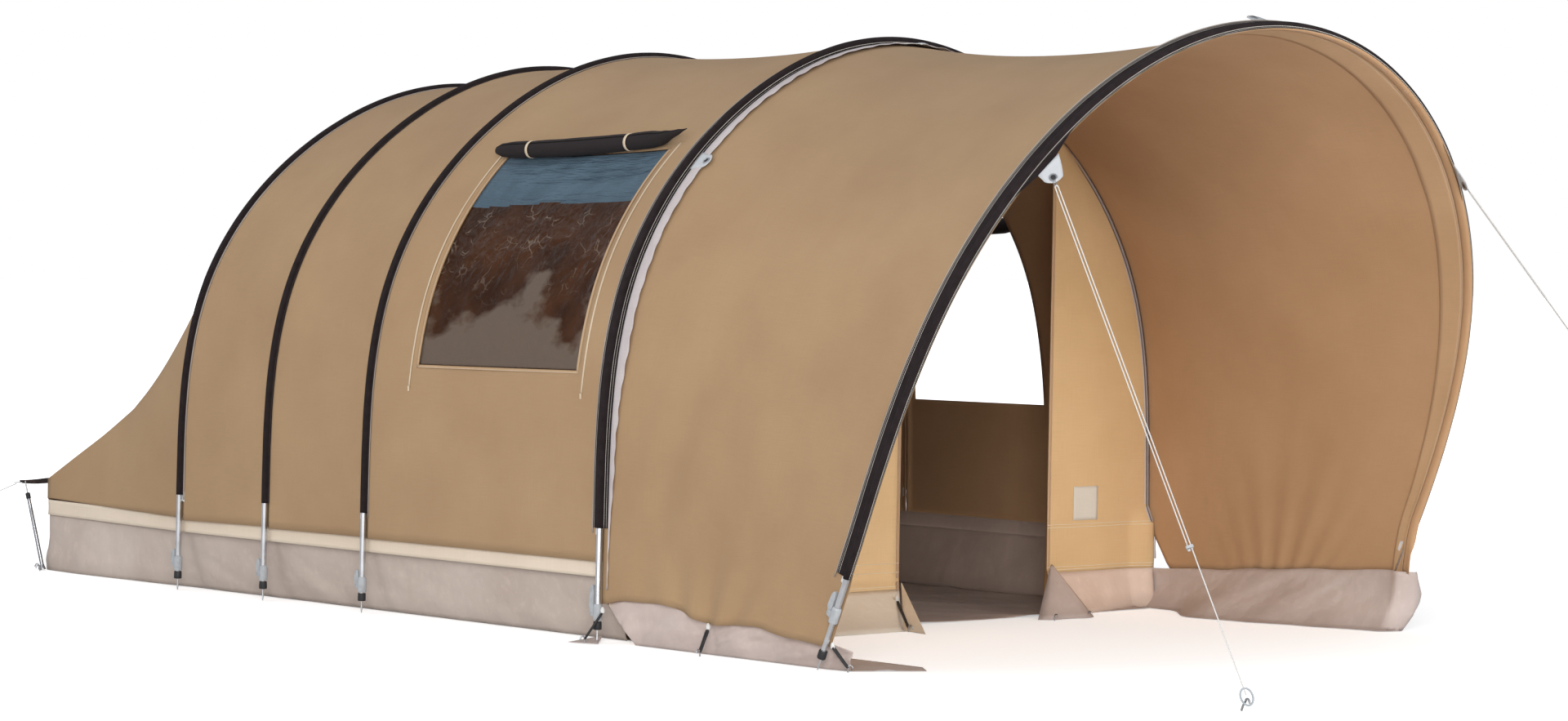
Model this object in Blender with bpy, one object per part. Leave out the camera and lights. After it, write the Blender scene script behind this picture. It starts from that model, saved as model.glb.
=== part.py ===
"""A cotton tunnel tent on five hoops, pitched, with its front hoop leaning out over an open canopy.

Metres, +Z up, ground at z = 0. X runs across the tent, -Y is the front. The origin is on the ground,
under the middle of the tent. Left is -X. Hoop 1 is the rearmost and hoop 5 leads the canopy.
"""
import math

import bmesh
import bpy
from mathutils import Matrix, Vector

# Hoops: aluminium tube, one profile for hoops 1 to 4 and a taller one for the front hoop
HALF_WIDTH = 1.5
WALL_Y = -0.967
HOOP_FROM_WALL = (2.753, 2.143, 1.471, 0.0, -1.226)
HEIGHT_SHARE = (0.931, 0.961, 0.982, 1.0, 1.0)
STRAIGHT_LEG = 0.5
LEG_LEAN = (0.014, 0.014, 0.014, 0.014, -0.015)
MAIN_BENDS = (0.0, 0.99, 0.64, 1.0)
FRONT_BENDS = (0.14, 0.88, 0.95, 1.0)
BEND_STEPS = 16
LEG_STATION = 0.16
FRONT_LEAN = 0.333
FRONT_BOW = 0.074
TUBE_R = 0.0125
SIDES = 8

# Lower legs, quick clamps and their levers, as heights up the leg from the ground
TUBE_END = (0.085, 0.085, 0.085, 0.085, 0.195)
BORE_R = 0.0108
BORE_DEPTH = 0.23
LEG_R = 0.0102
LEG_TOP_IN_BORE = 0.20
CAP_BOTTOM = 0.050
CAP_TOP = 0.077
CAP_R = 0.0155
PIN_R = 0.0035
PIN_TIP_R = 0.001
CLAMP_R = 0.0160
CLAMP_HEIGHT = 0.052
LEVER_PIVOT = 0.027
LEVER_UP = 0.026
LEVER_LENGTH = 0.105
LEVER_HALF_WIDTH = 0.009
LEVER_ROOT_R = 0.0072

# Cloth and the sleeves that carry the hoops
CLOTH = 0.003
CLOTH_OFF = 0.0165
SLEEVE_FROM = (0.40, 0.40, 0.40, 0.43, 0.37)
SLEEVE_HALF = (0.020, 0.020, 0.020, 0.033, 0.033)
SLEEVE_INNER = 0.0134
SLEEVE_OUTER = 0.0158
SLEEVE_FLANGE = 0.0022
SLEEVE_LIFT = 0.0032
ROOF_BOTTOM = 0.303
ROOF_SAG = (0.012, 0.014, 0.030)
CANOPY_SAG = 0.075
SKIRT_TOP = {"left": 0.130, "right": 0.200}
SEAM_GAP = 0.0006

# Groundsheet tub with its mud wall, and the rear of the tent
FLOOR_HALF = 1.37
TUB_TOP_HALF = 1.465
TUB_TOP = 0.300
TUB_CLOTH = 0.004
REAR_FROM_WALL = 3.94
REAR_HALF = 1.375
REAR_TOP = 0.40
REAR_SAG = 0.065
REAR_KINK = 0.48
REAR_CORNER = 0.36
REAR_BOW = 0.012
REAR_CORNER_RISE = 0.012
FRONT_LIP = 0.12

# Front wall, door and windows, measured from the front wall's plane
DOOR_LEFT = 0.05
DOOR_RIGHT = 0.88
DOOR_TOP = 1.90
DOOR_ROLL = (0.125, 0.070)
WALL_INSET = 0.022
WALL_FOOT = 0.008
WALL_BILLOW = 0.015
LEFT_WALL_TOP = 0.985
WALL_FORWARD = {"left": 0.28, "right": 0.20}
WALL_KICK_TOP = 0.17
WALL_KICK_POWER = 1.2
LEFT_WINDOW = (0.325, 0.640, 0.20, 1.18)
RIGHT_WINDOW = (0.262, 0.540, 0.615, 1.42)
FILM = 0.0015
FILM_GAP = 0.0015
BLIND_R = 0.036

# Canopy mud flaps
SKIRT_FLAP = 0.33
SKIRT_X = 1.472
SKIRT_REAR = 0.03
SKIRT_FRONT = 0.02
SKIRT_TAIL = (0.04, 0.15)
SKIRT_STEPS = 16
SKIRT_FOLDS = 3.5
SKIRT_FOLD = 0.005

# Guys, pegs and rear props, with x and y from the front wall's plane
ROPE_R = 0.0022
STRAND_GAP = 0.011
GUY_STATION = 0.622
GUY_PEG = {"left": (-1.235, -3.035), "right": (1.55, -3.25)}
RUNNER_SHARE = 0.715
TAB_LENGTH = 0.075
TAB_HALF = 0.055
PEG_TOP = 0.045
PROP_FOOT = (1.420, 3.900)
PROP_TOP = (1.470, 3.965)
PROP_HEIGHT = 0.372
PROP_R = 0.008
REAR_RING = (1.495, 3.982, 0.384)
REAR_PEG = (-2.00, 4.56)

SIDE_SIGN = {"left": -1.0, "right": 1.0}


def material(name, colour, roughness, metallic=0.0):
    made = bpy.data.materials.get(name)
    if made is None:
        made = bpy.data.materials.new(name)
        made.use_nodes = True
        shader = made.node_tree.nodes["Principled BSDF"]
        shader.inputs["Base Color"].default_value = (*colour, 1.0)
        shader.inputs["Roughness"].default_value = roughness
        shader.inputs["Metallic"].default_value = metallic
        made.diffuse_color = (*colour, 1.0)
    return made


def canvas():
    return material("canvas", (0.45, 0.31, 0.16), 0.9)


def wall_canvas():
    return material("wall_canvas", (0.62, 0.39, 0.17), 0.9)


def band_fabric():
    return material("band_fabric", (0.035, 0.026, 0.027), 0.8)


def mud_fabric():
    return material("mud_fabric", (0.50, 0.42, 0.36), 0.7)


def clear_film():
    return material("clear_film", (0.20, 0.22, 0.24), 0.2)


def aluminium():
    return material("aluminium", (0.75, 0.76, 0.78), 0.3, 1.0)


def grey_plastic():
    return material("grey_plastic", (0.55, 0.57, 0.60), 0.5)


def steel():
    return material("steel", (0.55, 0.56, 0.58), 0.35, 1.0)


def rope_white():
    return material("rope_white", (0.85, 0.83, 0.80), 0.8)


def add_mesh(name, points, faces, look, matrix=None, smooth=True):
    """One closed body from its corner points and faces, with its faces turned outwards."""
    shape = bmesh.new()
    corners = [shape.verts.new(p) for p in points]
    for face in faces:
        shape.faces.new([corners[i] for i in face])
    bmesh.ops.recalc_face_normals(shape, faces=shape.faces)
    mesh = bpy.data.meshes.new(name)
    shape.to_mesh(mesh)
    shape.free()
    if smooth:
        mesh.shade_smooth()
        mesh.set_sharp_from_angle(angle=math.radians(35))
    made = bpy.data.objects.new(name, mesh)
    bpy.context.scene.collection.objects.link(made)
    made.data.materials.append(look)
    if matrix is not None:
        made.matrix_world = matrix
    return made


def loft(name, rings, look, matrix=None, closed=False):
    """A solid through rings of equal length; an open loft gets flat ends."""
    count = len(rings[0])
    points = [p for ring in rings for p in ring]
    faces = []
    spans = len(rings) if closed else len(rings) - 1
    for r in range(spans):
        a = r * count
        b = (r + 1) % len(rings) * count
        for k in range(count):
            n = (k + 1) % count
            faces.append((a + k, a + n, b + n, b + k))
    if not closed:
        faces.append(tuple(range(count - 1, -1, -1)))
        faces.append(tuple(range((len(rings) - 1) * count, len(rings) * count)))
    return add_mesh(name, points, faces, look, matrix)


def halves(quad):
    """The two triangles of a cell that isn't flat, split between its first and third corners."""
    a, b, c, d = quad
    return (a, b, c), (a, c, d)


def sheet(name, outer, inner, look, keep=None):
    """A closed sheet between two grids of points. Cells that keep() refuses are left open as holes.

    Both of its sides are split along the same diagonals, so that they stay apart where a cell is twisted.
    """
    rows, columns = len(outer), len(outer[0])
    keep = keep or (lambda i, j: True)
    cells = {(i, j) for i in range(rows - 1) for j in range(columns - 1) if keep(i, j)}
    points = [p for row in outer for p in row] + [p for row in inner for p in row]
    half = rows * columns

    def at(i, j):
        return i * columns + j

    faces = []
    for i, j in cells:
        ring = (at(i, j), at(i + 1, j), at(i + 1, j + 1), at(i, j + 1))
        for triangle in halves(ring):
            faces.append(triangle)
            faces.append(tuple(half + k for k in reversed(triangle)))
        neighbours = ((i, j - 1), (i + 1, j), (i, j + 1), (i - 1, j))
        for side, other in enumerate(neighbours):
            if other not in cells:
                a, b = ring[side], ring[(side + 1) % 4]
                faces.append((b, a, half + a, half + b))
    used = sorted({k for face in faces for k in face})
    place = {k: n for n, k in enumerate(used)}
    return add_mesh(name, [points[k] for k in used],
                    [tuple(place[k] for k in face) for face in faces], look)


def circle(radius, sides=SIDES, turn=0.5):
    """Corner points of a regular ring, flat side down."""
    step = 2 * math.pi / sides
    return [(radius * math.cos((k + turn) * step), radius * math.sin((k + turn) * step)) for k in range(sides)]


def half_profile(straight, lean, bends):
    """Distance across and height of a hoop's left half, from its foot to its crown.

    The leg is straight, then the tube bends: bends gives how sharply, at equal steps up to the crown.
    """
    turn_left = math.pi / 2 - lean
    share = []
    for k in range(BEND_STEPS):
        place = (k + 0.5) / BEND_STEPS * (len(bends) - 1)
        low = min(int(place), len(bends) - 2)
        share.append(bends[low] + (bends[low + 1] - bends[low]) * (place - low))
    across, up, angle = [0.0], [0.0], turn_left
    for bend in share:
        step = bend / sum(share) * turn_left
        middle = angle - step / 2
        across.append(across[-1] + math.cos(middle))
        up.append(up[-1] + math.sin(middle))
        angle -= step
    start = (-HALF_WIDTH + straight * math.sin(lean), straight * math.cos(lean))
    scale = -start[0] / across[-1]
    bent = [(start[0] + a * scale, start[1] + u * scale) for a, u in zip(across, up)]
    return [(-HALF_WIDTH, 0.0)] + bent


class Hoop:
    """A hoop's centre line, its outward normal and its rearward normal, read by station.

    Stations run from 0 at the left foot over 1 at the crown to 2 at the right foot, alike on every hoop.
    """

    def __init__(self, number):
        index = number - 1
        front = number == 5
        half = half_profile(STRAIGHT_LEG, LEG_LEAN[index], FRONT_BENDS if front else MAIN_BENDS)
        half = [(x, z * HEIGHT_SHARE[index]) for x, z in half]
        flat = half + [(-x, z) for x, z in half[-2::-1]]
        top = half[-1][1]
        self.lean = FRONT_LEAN if front else 0.0
        self.y = WALL_Y + HOOP_FROM_WALL[index]
        self.rear = Vector((0.0, math.cos(self.lean), math.sin(self.lean)))
        self.up = Vector((0.0, -math.sin(self.lean), math.cos(self.lean)))
        self.points = []
        for x, h in flat:
            bow = FRONT_BOW * 4 * (h / top) * (1 - h / top) if front else 0.0
            self.points.append(Vector((x, self.y, 0.0)) + self.up * h - self.rear * bow)
        rising = [0.0] + [LEG_STATION + (1 - LEG_STATION) * k / BEND_STEPS for k in range(BEND_STEPS + 1)]
        self.stations = rising + [2 - s for s in rising[-2::-1]]
        self.leg_length = (self.points[1] - self.points[0]).length
        self.normals = []
        for k in range(len(self.points)):
            before = self.points[max(k - 1, 0)]
            after = self.points[min(k + 1, len(self.points) - 1)]
            self.normals.append(self.rear.cross((after - before).normalized()).normalized() * -1.0)

    def at(self, station):
        """Centre point and outward normal at a station."""
        k = 0
        while k < len(self.stations) - 2 and self.stations[k + 1] < station:
            k += 1
        share = (station - self.stations[k]) / (self.stations[k + 1] - self.stations[k])
        point = self.points[k].lerp(self.points[k + 1], share)
        normal = self.normals[k].lerp(self.normals[k + 1], min(max(share, 0.0), 1.0)).normalized()
        return point, normal

    def station_up_leg(self, metres):
        return metres / self.leg_length * LEG_STATION

    def between(self, first, last, extra=()):
        """Stations from first to last, with the hoop's own corners and any extra ones between them."""
        fixed = [first, last] + list(extra)
        corners = [s for s in self.stations if first < s < last and min(abs(s - f) for f in fixed) > 0.012]
        return sorted(fixed + corners)

    def leg_frame(self, side):
        """A leg's own frame: origin at its foot, z up the leg, x across the tent and y to the rear."""
        low, high = (self.points[0], self.points[1]) if side == "left" else (self.points[-1], self.points[-2])
        z = (high - low).normalized()
        x = (Vector((1.0, 0.0, 0.0)) - z * z.x).normalized()
        y = z.cross(x)
        return Matrix(((x.x, y.x, z.x, low.x), (x.y, y.y, z.y, low.y), (x.z, y.z, z.z, low.z), (0, 0, 0, 1)))


def arch_tube(number, hoop):
    """The bent tube with its two clamp collars, bored at both ends for the lower legs."""
    end = TUBE_END[number - 1]
    ring = circle(TUBE_R)

    def section(matrix, radius, height):
        return [matrix @ Vector((x, y, height)) for x, y in circle(radius)]

    left, right = hoop.leg_frame("left"), hoop.leg_frame("right")
    legs = []
    for frame in (left, right):
        legs.append([
            section(frame, BORE_R, end + BORE_DEPTH), section(frame, BORE_R, end), section(frame, CLAMP_R, end),
            section(frame, CLAMP_R, end + CLAMP_HEIGHT), section(frame, TUBE_R, end + CLAMP_HEIGHT + 0.004),
            section(frame, TUBE_R, end + 0.30)])
    bent = []
    for k in range(2, len(hoop.points) - 2):
        point, normal = hoop.points[k], hoop.normals[k]
        bent.append([point + normal * -x + hoop.rear * y for x, y in ring])
    mirrored = [[points[(3 - k) % SIDES] for k in range(SIDES)] for points in legs[1][::-1]]
    return loft("arch_tube_%d" % number, legs[0] + bent + mirrored, aluminium())


def lower_leg(number, side, hoop):
    """Telescoping leg: a tube with a rubber cap and the steel pin that goes into the ground."""
    top = TUBE_END[number - 1] + LEG_TOP_IN_BORE
    profile = ((PIN_TIP_R, 0.0006), (PIN_R, 0.010), (PIN_R, CAP_BOTTOM), (CAP_R, CAP_BOTTOM), (CAP_R, CAP_TOP),
               (LEG_R, CAP_TOP), (LEG_R, top))
    rings = [[Vector((x, y, height)) for x, y in circle(radius)] for radius, height in profile]
    return loft("leg_%d_%s" % (number, side), rings, aluminium(), hoop.leg_frame(side))


def clamp_lever(number, side, hoop):
    """The cam lever of a leg clamp, pivoted behind its collar and shut against the tube."""
    frame = hoop.leg_frame(side)
    root = [(LEVER_ROOT_R * math.cos(a), LEVER_ROOT_R * math.sin(a))
            for a in (math.radians(d) for d in (-180, -135, -90, -45, 0))]
    blade = [(0.018, 0.020), (0.014, LEVER_LENGTH * 0.8), (0.004, LEVER_LENGTH), (-0.006, LEVER_LENGTH * 0.97),
             (-0.0095, 0.060), (-0.0072, 0.012)]
    outline = root + blade
    pivot = Matrix.Translation((0.0, LEVER_PIVOT, TUBE_END[number - 1] + LEVER_UP))
    rings = [[Vector((x, y, z)) for y, z in outline] for x in (-LEVER_HALF_WIDTH, LEVER_HALF_WIDTH)]
    return loft("clamp_lever_%d_%s" % (number, side), rings, grey_plastic(), frame @ pivot)


def sleeve(number, hoop):
    """The dark sleeve sewn on the roof over a hoop: a channel, open towards the cloth."""
    half = SLEEVE_HALF[number - 1]
    start = hoop.station_up_leg(SLEEVE_FROM[number - 1])
    low = -CLOTH_OFF + SLEEVE_LIFT
    section = [(-half, low), (-half, low + SLEEVE_FLANGE), (-SLEEVE_OUTER, SLEEVE_OUTER),
               (SLEEVE_OUTER, SLEEVE_OUTER), (half, low + SLEEVE_FLANGE), (half, low),
               (SLEEVE_INNER, low), (SLEEVE_INNER, SLEEVE_INNER), (-SLEEVE_INNER, SLEEVE_INNER), (-SLEEVE_INNER, low)]
    rings = []
    for station in hoop.between(start, 2 - start):
        point, normal = hoop.at(station)
        rings.append([point + hoop.rear * b + normal * n for b, n in section])
    return loft("sleeve_%d" % number, rings, band_fabric())


def roof_point(back, front, station, share, sag, depth=0.0):
    """A point of the roof between two hoops: share 0 is on the front one, 1 on the rear one."""
    a, na = front.at(station)
    b, nb = back.at(station)
    normal = na.lerp(nb, share).normalized()
    crown = math.sin(math.pi * station / 2)
    droop = sag * 4 * share * (1 - share) * crown
    return a.lerp(b, share) - normal * (CLOTH_OFF + droop + depth)


def roof_grid(back, front, stations, shares, sag, depth=0.0):
    return [[roof_point(back, front, s, u, sag, depth) for u in shares] for s in stations]


def roof_bay(number, hoops, shares):
    """The roof cloth between two hoops, down to the top of the mud wall on both sides."""
    back, front = hoops[number - 1], hoops[number]
    low = front.station_up_leg(ROOF_BOTTOM)
    stations = front.between(low, 2 - low)
    sag = ROOF_SAG[number - 1]
    outer = roof_grid(back, front, stations, shares, sag)
    inner = roof_grid(back, front, stations, shares, sag, CLOTH)
    return sheet("roof_bay_%d" % number, outer, inner, canvas())


def share_of(distance):
    """Where a distance behind the front wall lies between hoop 4, at 0, and hoop 3, at 1."""
    return distance / HOOP_FROM_WALL[2]


def window_bay(hoops):
    """The roof cloth between hoops 3 and 4, with its two window openings."""
    back, front = hoops[2], hoops[3]
    left, right = LEFT_WINDOW, RIGHT_WINDOW
    low = front.station_up_leg(ROOF_BOTTOM)
    stations = front.between(low, 2 - low, (left[0], left[1], 2 - right[1], 2 - right[0]))
    shares = [SEAM_GAP] + [share_of(d) for d in (left[2], right[2], left[3], right[3])] + [1 - SEAM_GAP]

    def keep(i, j):
        middle, share = (stations[i] + stations[i + 1]) / 2, (shares[j] + shares[j + 1]) / 2
        in_left = left[0] < middle < left[1] and share_of(left[2]) < share < share_of(left[3])
        in_right = 2 - right[1] < middle < 2 - right[0] and share_of(right[2]) < share < share_of(right[3])
        return not (in_left or in_right)

    outer = roof_grid(back, front, stations, shares, ROOF_SAG[2])
    inner = roof_grid(back, front, stations, shares, ROOF_SAG[2], CLOTH)
    return sheet("roof_bay_3", outer, inner, canvas(), keep)


def window_film(hoops):
    """The clear window in the left opening, clear of its edges."""
    back, front = hoops[2], hoops[3]
    low, high, first, last = LEFT_WINDOW
    stations = front.between(low + FILM_GAP, high - FILM_GAP)
    shares = [share_of(first + FILM_GAP), share_of(RIGHT_WINDOW[2]), share_of(last - FILM_GAP)]
    outer = roof_grid(back, front, stations, shares, ROOF_SAG[2], CLOTH * 0.25)
    inner = roof_grid(back, front, stations, shares, ROOF_SAG[2], CLOTH * 0.25 + FILM)
    return sheet("window_film", outer, inner, clear_film())


def blind(side, hoops):
    """A blind rolled up over its window, lying on the roof."""
    back, front = hoops[2], hoops[3]
    window = LEFT_WINDOW if side == "left" else RIGHT_WINDOW
    top = window[1] + 0.012 if side == "left" else window[1] - 0.022
    station = top if side == "left" else 2 - top
    first, last = window[2] - 0.04, window[3] + 0.03
    rings = []
    for share, size in ((0.0, 0.35), (0.06, 0.8), (0.5, 1.0), (0.92, 0.95), (1.0, 0.6)):
        place = share_of(first + (last - first) * share)
        centre = roof_point(back, front, station, place, ROOF_SAG[2], -(BLIND_R + 0.004))
        _, normal = front.at(station)
        across = Vector((0.0, 1.0, 0.0)).cross(normal)
        rings.append([centre + normal * (x * size) + across * (z * size) for x, z in circle(BLIND_R)])
    return loft("blind_" + side, rings, band_fabric())


def canopy(hoops):
    """The roof cloth from hoop 4 out to the leaning front hoop, down to the mud flaps."""
    back, front = hoops[3], hoops[4]
    stations = front.between(front.station_up_leg(SKIRT_TOP["left"]), 2 - front.station_up_leg(SKIRT_TOP["right"]))
    shares = (0.0, 0.0, 0.2, 0.4, 0.6, 0.8, 1 - SEAM_GAP)
    outer = roof_grid(back, front, stations, shares, CANOPY_SAG)
    inner = roof_grid(back, front, stations, shares, CANOPY_SAG, CLOTH)
    for grid in (outer, inner):
        for row in grid:
            row[0] = row[0] - front.rear * (SLEEVE_HALF[4] + 0.001)
    return sheet("canopy", outer, inner, canvas())


def rear_rim(station, low):
    """Two points of the rear panel's edge: on the upright corner and top of the back, and at its foot.

    Between the corners the edge bows in a little, and less so at its foot.
    """
    sign = -1.0 if station <= 1.0 else 1.0
    half = station if station <= 1.0 else 2 - station
    y = WALL_Y + REAR_FROM_WALL
    if half < REAR_CORNER:
        up = (half - low) / (REAR_CORNER - low)
        bottom = ROOF_BOTTOM + REAR_CORNER_RISE
        edge = Vector((sign * REAR_HALF, y, bottom + (REAR_TOP - bottom) * up))
        return edge, Vector((sign * (REAR_HALF - 0.008 - 0.045 * up), y, ROOF_BOTTOM))
    along = (half - REAR_CORNER) / (1.0 - REAR_CORNER)
    bow = REAR_BOW * math.sin(math.pi * along / 2)
    edge = Vector((sign * REAR_HALF * (1 - along), y - bow, REAR_TOP))
    return edge, Vector((sign * (REAR_HALF - 0.053) * (1 - along), y - bow / 2, ROOF_BOTTOM))


def rear_panel(hoop):
    """The sloping back of the tent, from hoop 1 down to the rear mud wall, with a fold across its middle."""
    low = hoop.station_up_leg(ROOF_BOTTOM)
    stations = hoop.between(low, 2 - low)
    shares = (0.0, 0.16, 0.32, REAR_KINK, 0.66, 0.83, 1.0)

    def row(station, depth):
        a, normal = hoop.at(station)
        top = a - normal * CLOTH_OFF + Vector((0.0, 0.003, 0.0))
        rim, foot = rear_rim(station, low)
        half = station if station <= 1.0 else 2 - station
        slope = Vector((0.6 * normal.x, 0.45, 0.2 + 0.65 * normal.z)).normalized()
        made = []
        for share in shares:
            hollow = REAR_SAG * min(share / REAR_KINK, (1 - share) / (1 - REAR_KINK), 1.0)
            hollow *= min(1.0, (half - low) / 0.35)
            made.append(top.lerp(rim, share) - slope * (hollow + depth))
        made.append(foot - Vector((0.0, depth, 0.0)))
        return made

    outer = [row(s, 0.0) for s in stations]
    inner = [row(s, CLOTH) for s in stations]
    return sheet("rear_panel", outer, inner, canvas())


def groundsheet():
    """The floor and its standing mud wall, in one tub that is open at the door."""
    rear = WALL_Y + REAR_FROM_WALL
    hoop_1 = WALL_Y + HOOP_FROM_WALL[0]
    lean = TUB_CLOTH / TUB_TOP * FRONT_LIP

    def corner(x, top_x, y, top_y):
        return (Vector((x, y, 0.0)), Vector((top_x, top_y, TUB_TOP)))

    def path(inset, floor):
        half, top, back = FLOOR_HALF - inset, TUB_TOP_HALF - inset, rear - inset
        narrow, narrow_top = REAR_HALF - 0.015 - inset, REAR_HALF - inset
        front = WALL_Y - FRONT_LIP + (lean if floor else 0.0)
        base = [(-half, front), (-half, hoop_1), (-narrow, rear - 0.3), (-narrow + 0.06, back - 0.02),
                (narrow - 0.06, back - 0.02), (narrow, rear - 0.3), (half, hoop_1), (half, front)]
        rim = [(-top, WALL_Y), (-top, hoop_1), (-narrow_top - 0.02, rear - 0.3), (-narrow_top, back),
               (narrow_top, back), (narrow_top + 0.02, rear - 0.3), (top, hoop_1), (top, WALL_Y)]
        height = TUB_CLOTH if floor else 0.0
        return [Vector((x, y, height)) for x, y in base], [Vector((x, y, TUB_TOP)) for x, y in rim]

    base_out, top_out = path(0.0, False)
    base_in, top_in = path(TUB_CLOTH, True)
    count = len(base_out)
    points = base_out + top_out + top_in + base_in
    faces = []
    for k in range(count - 1):
        out, rim, floor = k, 2 * count + k, 3 * count + k
        faces.extend(halves((out, out + 1, out + count + 1, out + count)))
        faces.append((out + count, out + count + 1, rim + 1, rim))
        faces.extend(halves((floor, floor + 1, rim + 1, rim)))
    faces.append(tuple(range(count)))
    faces.append(tuple(3 * count + k for k in range(count)))
    last = count - 1
    faces.append((0, count, 2 * count, 3 * count, 3 * count + last, 2 * count + last, count + last, last))
    return add_mesh("groundsheet", points, faces, mud_fabric(), smooth=False)


def wall_edge(hoop, station):
    """A point of the front wall's outline, just inside the roof cloth at hoop 4."""
    point, normal = hoop.at(station)
    return point - normal * WALL_INSET


def station_over(hoop, x):
    """The station on the hoop's right half where the front wall's outline is x across."""
    low, high = 1.0, 2.0
    for _ in range(30):
        middle = (low + high) / 2
        if wall_edge(hoop, middle).x < x:
            low = middle
        else:
            high = middle
    return low


def wall_forward(side, x, z):
    """How far the front wall's foot is pegged out in front of the hoop."""
    kick = max(0.0, 1 - z / WALL_KICK_TOP) ** WALL_KICK_POWER
    spread = min(1.0, max(0.0, (1.36 - abs(x)) / 0.75))
    return WALL_FORWARD[side] * kick * spread


def wall_billow(share, z):
    """How far the wall's cloth billows out, with share 0 at its outer edge and 1 at the door."""
    return WALL_BILLOW * math.sin(math.pi * share) * (0.4 + 0.6 * math.sin(math.pi * z / 2.4))


def front_wall(side, hoop):
    """One side of the front wall, from the roof to the ground, beside the doorway."""
    sign = SIDE_SIGN[side]
    door = DOOR_LEFT if side == "left" else DOOR_RIGHT
    top = LEFT_WALL_TOP if side == "left" else 2 - station_over(hoop, DOOR_RIGHT + 0.004)
    edges = [(sign * 1.335, z) for z in (WALL_FOOT, 0.08, WALL_KICK_TOP, 0.295)]
    for station in hoop.between(hoop.station_up_leg(0.36), top):
        edge = wall_edge(hoop, station if side == "left" else 2 - station)
        edges.append((edge.x, edge.z))
    shares = (0.0, 0.12, 0.35, 0.65, 1.0)

    def point(edge, share, depth):
        x_out, z = edge
        kick = max(0.0, 1 - z / WALL_KICK_TOP) ** WALL_KICK_POWER
        x_door = door - 0.25 * kick if side == "left" else door
        x = x_out + (x_door - x_out) * share
        return Vector((x, hoop.y - wall_forward(side, x, z) - wall_billow(share, z) + depth, z))

    outer = [[point(e, u, 0.0) for u in shares] for e in edges]
    inner = [[point(e, u, CLOTH) for u in shares] for e in edges]
    return sheet("front_wall_" + side, outer, inner, wall_canvas())


def front_wall_header(hoop):
    """The strip of front wall over the doorway."""
    columns = 7
    outer, inner = [], []
    for k in range(columns):
        x = DOOR_LEFT + 0.002 + (DOOR_RIGHT - DOOR_LEFT - 0.004) * k / (columns - 1)
        top = wall_edge(hoop, station_over(hoop, x)).z - 0.002
        outer.append([Vector((x, hoop.y, z)) for z in (DOOR_TOP, (DOOR_TOP + top) / 2, top)])
        inner.append([p + Vector((0.0, CLOTH, 0.0)) for p in outer[-1]])
    return sheet("front_wall_header", outer, inner, wall_canvas())


def door_leaf(hoop):
    """The open half of the door, rolled up and tied behind the right side of the wall."""
    x, y = DOOR_RIGHT + DOOR_ROLL[0], hoop.y + DOOR_ROLL[1]
    rings = []
    for height, radius in ((0.03, 0.060), (0.25, 0.052), (0.60, 0.042), (1.0, 0.047), (1.35, 0.040), (1.64, 0.044),
                           (1.74, 0.030)):
        rings.append([Vector((x + a * 0.9, y + b, height)) for a, b in circle(radius, 10)])
    return loft("door_leaf", rings, wall_canvas())


def zip_slider(hoop):
    """The slider that closes the right edge of the front wall, at the bottom of its zip."""
    edge = wall_edge(hoop, 2 - hoop.station_up_leg(0.355))
    x, y, z = edge.x - 0.018, hoop.y - 0.0045, 0.34
    outline = [(-0.005, 0.0), (0.005, 0.0), (0.006, 0.018), (0.004, 0.028), (-0.004, 0.028), (-0.006, 0.018)]
    rings = [[Vector((x + a, y - depth, z + b)) for a, b in outline] for depth in (0.0, 0.009)]
    return loft("zip_slider", rings, steel())


def skirt(side, front):
    """A mud flap: it hangs from the canopy's edge to the ground and lies inwards on it."""
    sign = SIDE_SIGN[side]
    top = SKIRT_TOP[side] - 0.003
    first, last = WALL_Y - SKIRT_REAR, front.y + SKIRT_FRONT
    outer, inner = [], []
    for k in range(SKIRT_STEPS + 1):
        share = k / SKIRT_STEPS
        y = first + (last - first) * share
        flap = SKIRT_FLAP * min(1.0, max(0.06, (WALL_Y - 0.13 - y) / 0.25))
        edge = SKIRT_X - 0.012 - flap - SKIRT_TAIL[0] * share ** 4
        tail = -SKIRT_TAIL[1] * share ** 4
        fold = SKIRT_FOLD * math.sin(2 * math.pi * SKIRT_FOLDS * share)
        for grid, inset, lift in ((outer, 0.0, 0.0), (inner, CLOTH, CLOTH)):
            grid.append([Vector((sign * (SKIRT_X - inset), y, top)),
                         Vector((sign * (SKIRT_X - inset + fold), y, top * 0.7)),
                         Vector((sign * (SKIRT_X - inset - fold), y, top * 0.35)),
                         Vector((sign * (SKIRT_X - inset - 0.010), y, lift)),
                         Vector((sign * edge, y + tail, lift))])
    return sheet("skirt_" + side, outer, inner, mud_fabric())


def guy_line(side, front):
    """A front guy's start on its sleeve, its direction, the way across it and along the hoop, and its peg."""
    station = GUY_STATION if side == "left" else 2 - GUY_STATION
    point, normal = front.at(station)
    edge = point - front.rear * (SLEEVE_HALF[4] + 0.004) - normal * (CLOTH_OFF - 0.008)
    x, y = GUY_PEG[side]
    peg = Vector((x, WALL_Y + y, PEG_TOP))
    along = (peg - edge).normalized()
    tangent = normal.cross(front.rear).normalized()
    across = (tangent - along * tangent.dot(along)).normalized()
    return edge, along, across, tangent, peg


def guy_tab(side, front):
    """The corner tab on the front sleeve that a guy hooks into."""
    edge, along, across, tangent, _ = guy_line(side, front)
    out = along.cross(across)
    tip = edge + along * TAB_LENGTH
    outline = [edge - tangent * TAB_HALF, edge + tangent * TAB_HALF, tip + across * 0.012, tip - across * 0.012]
    rings = [[point + out * depth for point in outline] for depth in (-0.0015, 0.0015)]
    return loft("guy_tab_" + side, rings, mud_fabric())


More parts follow.
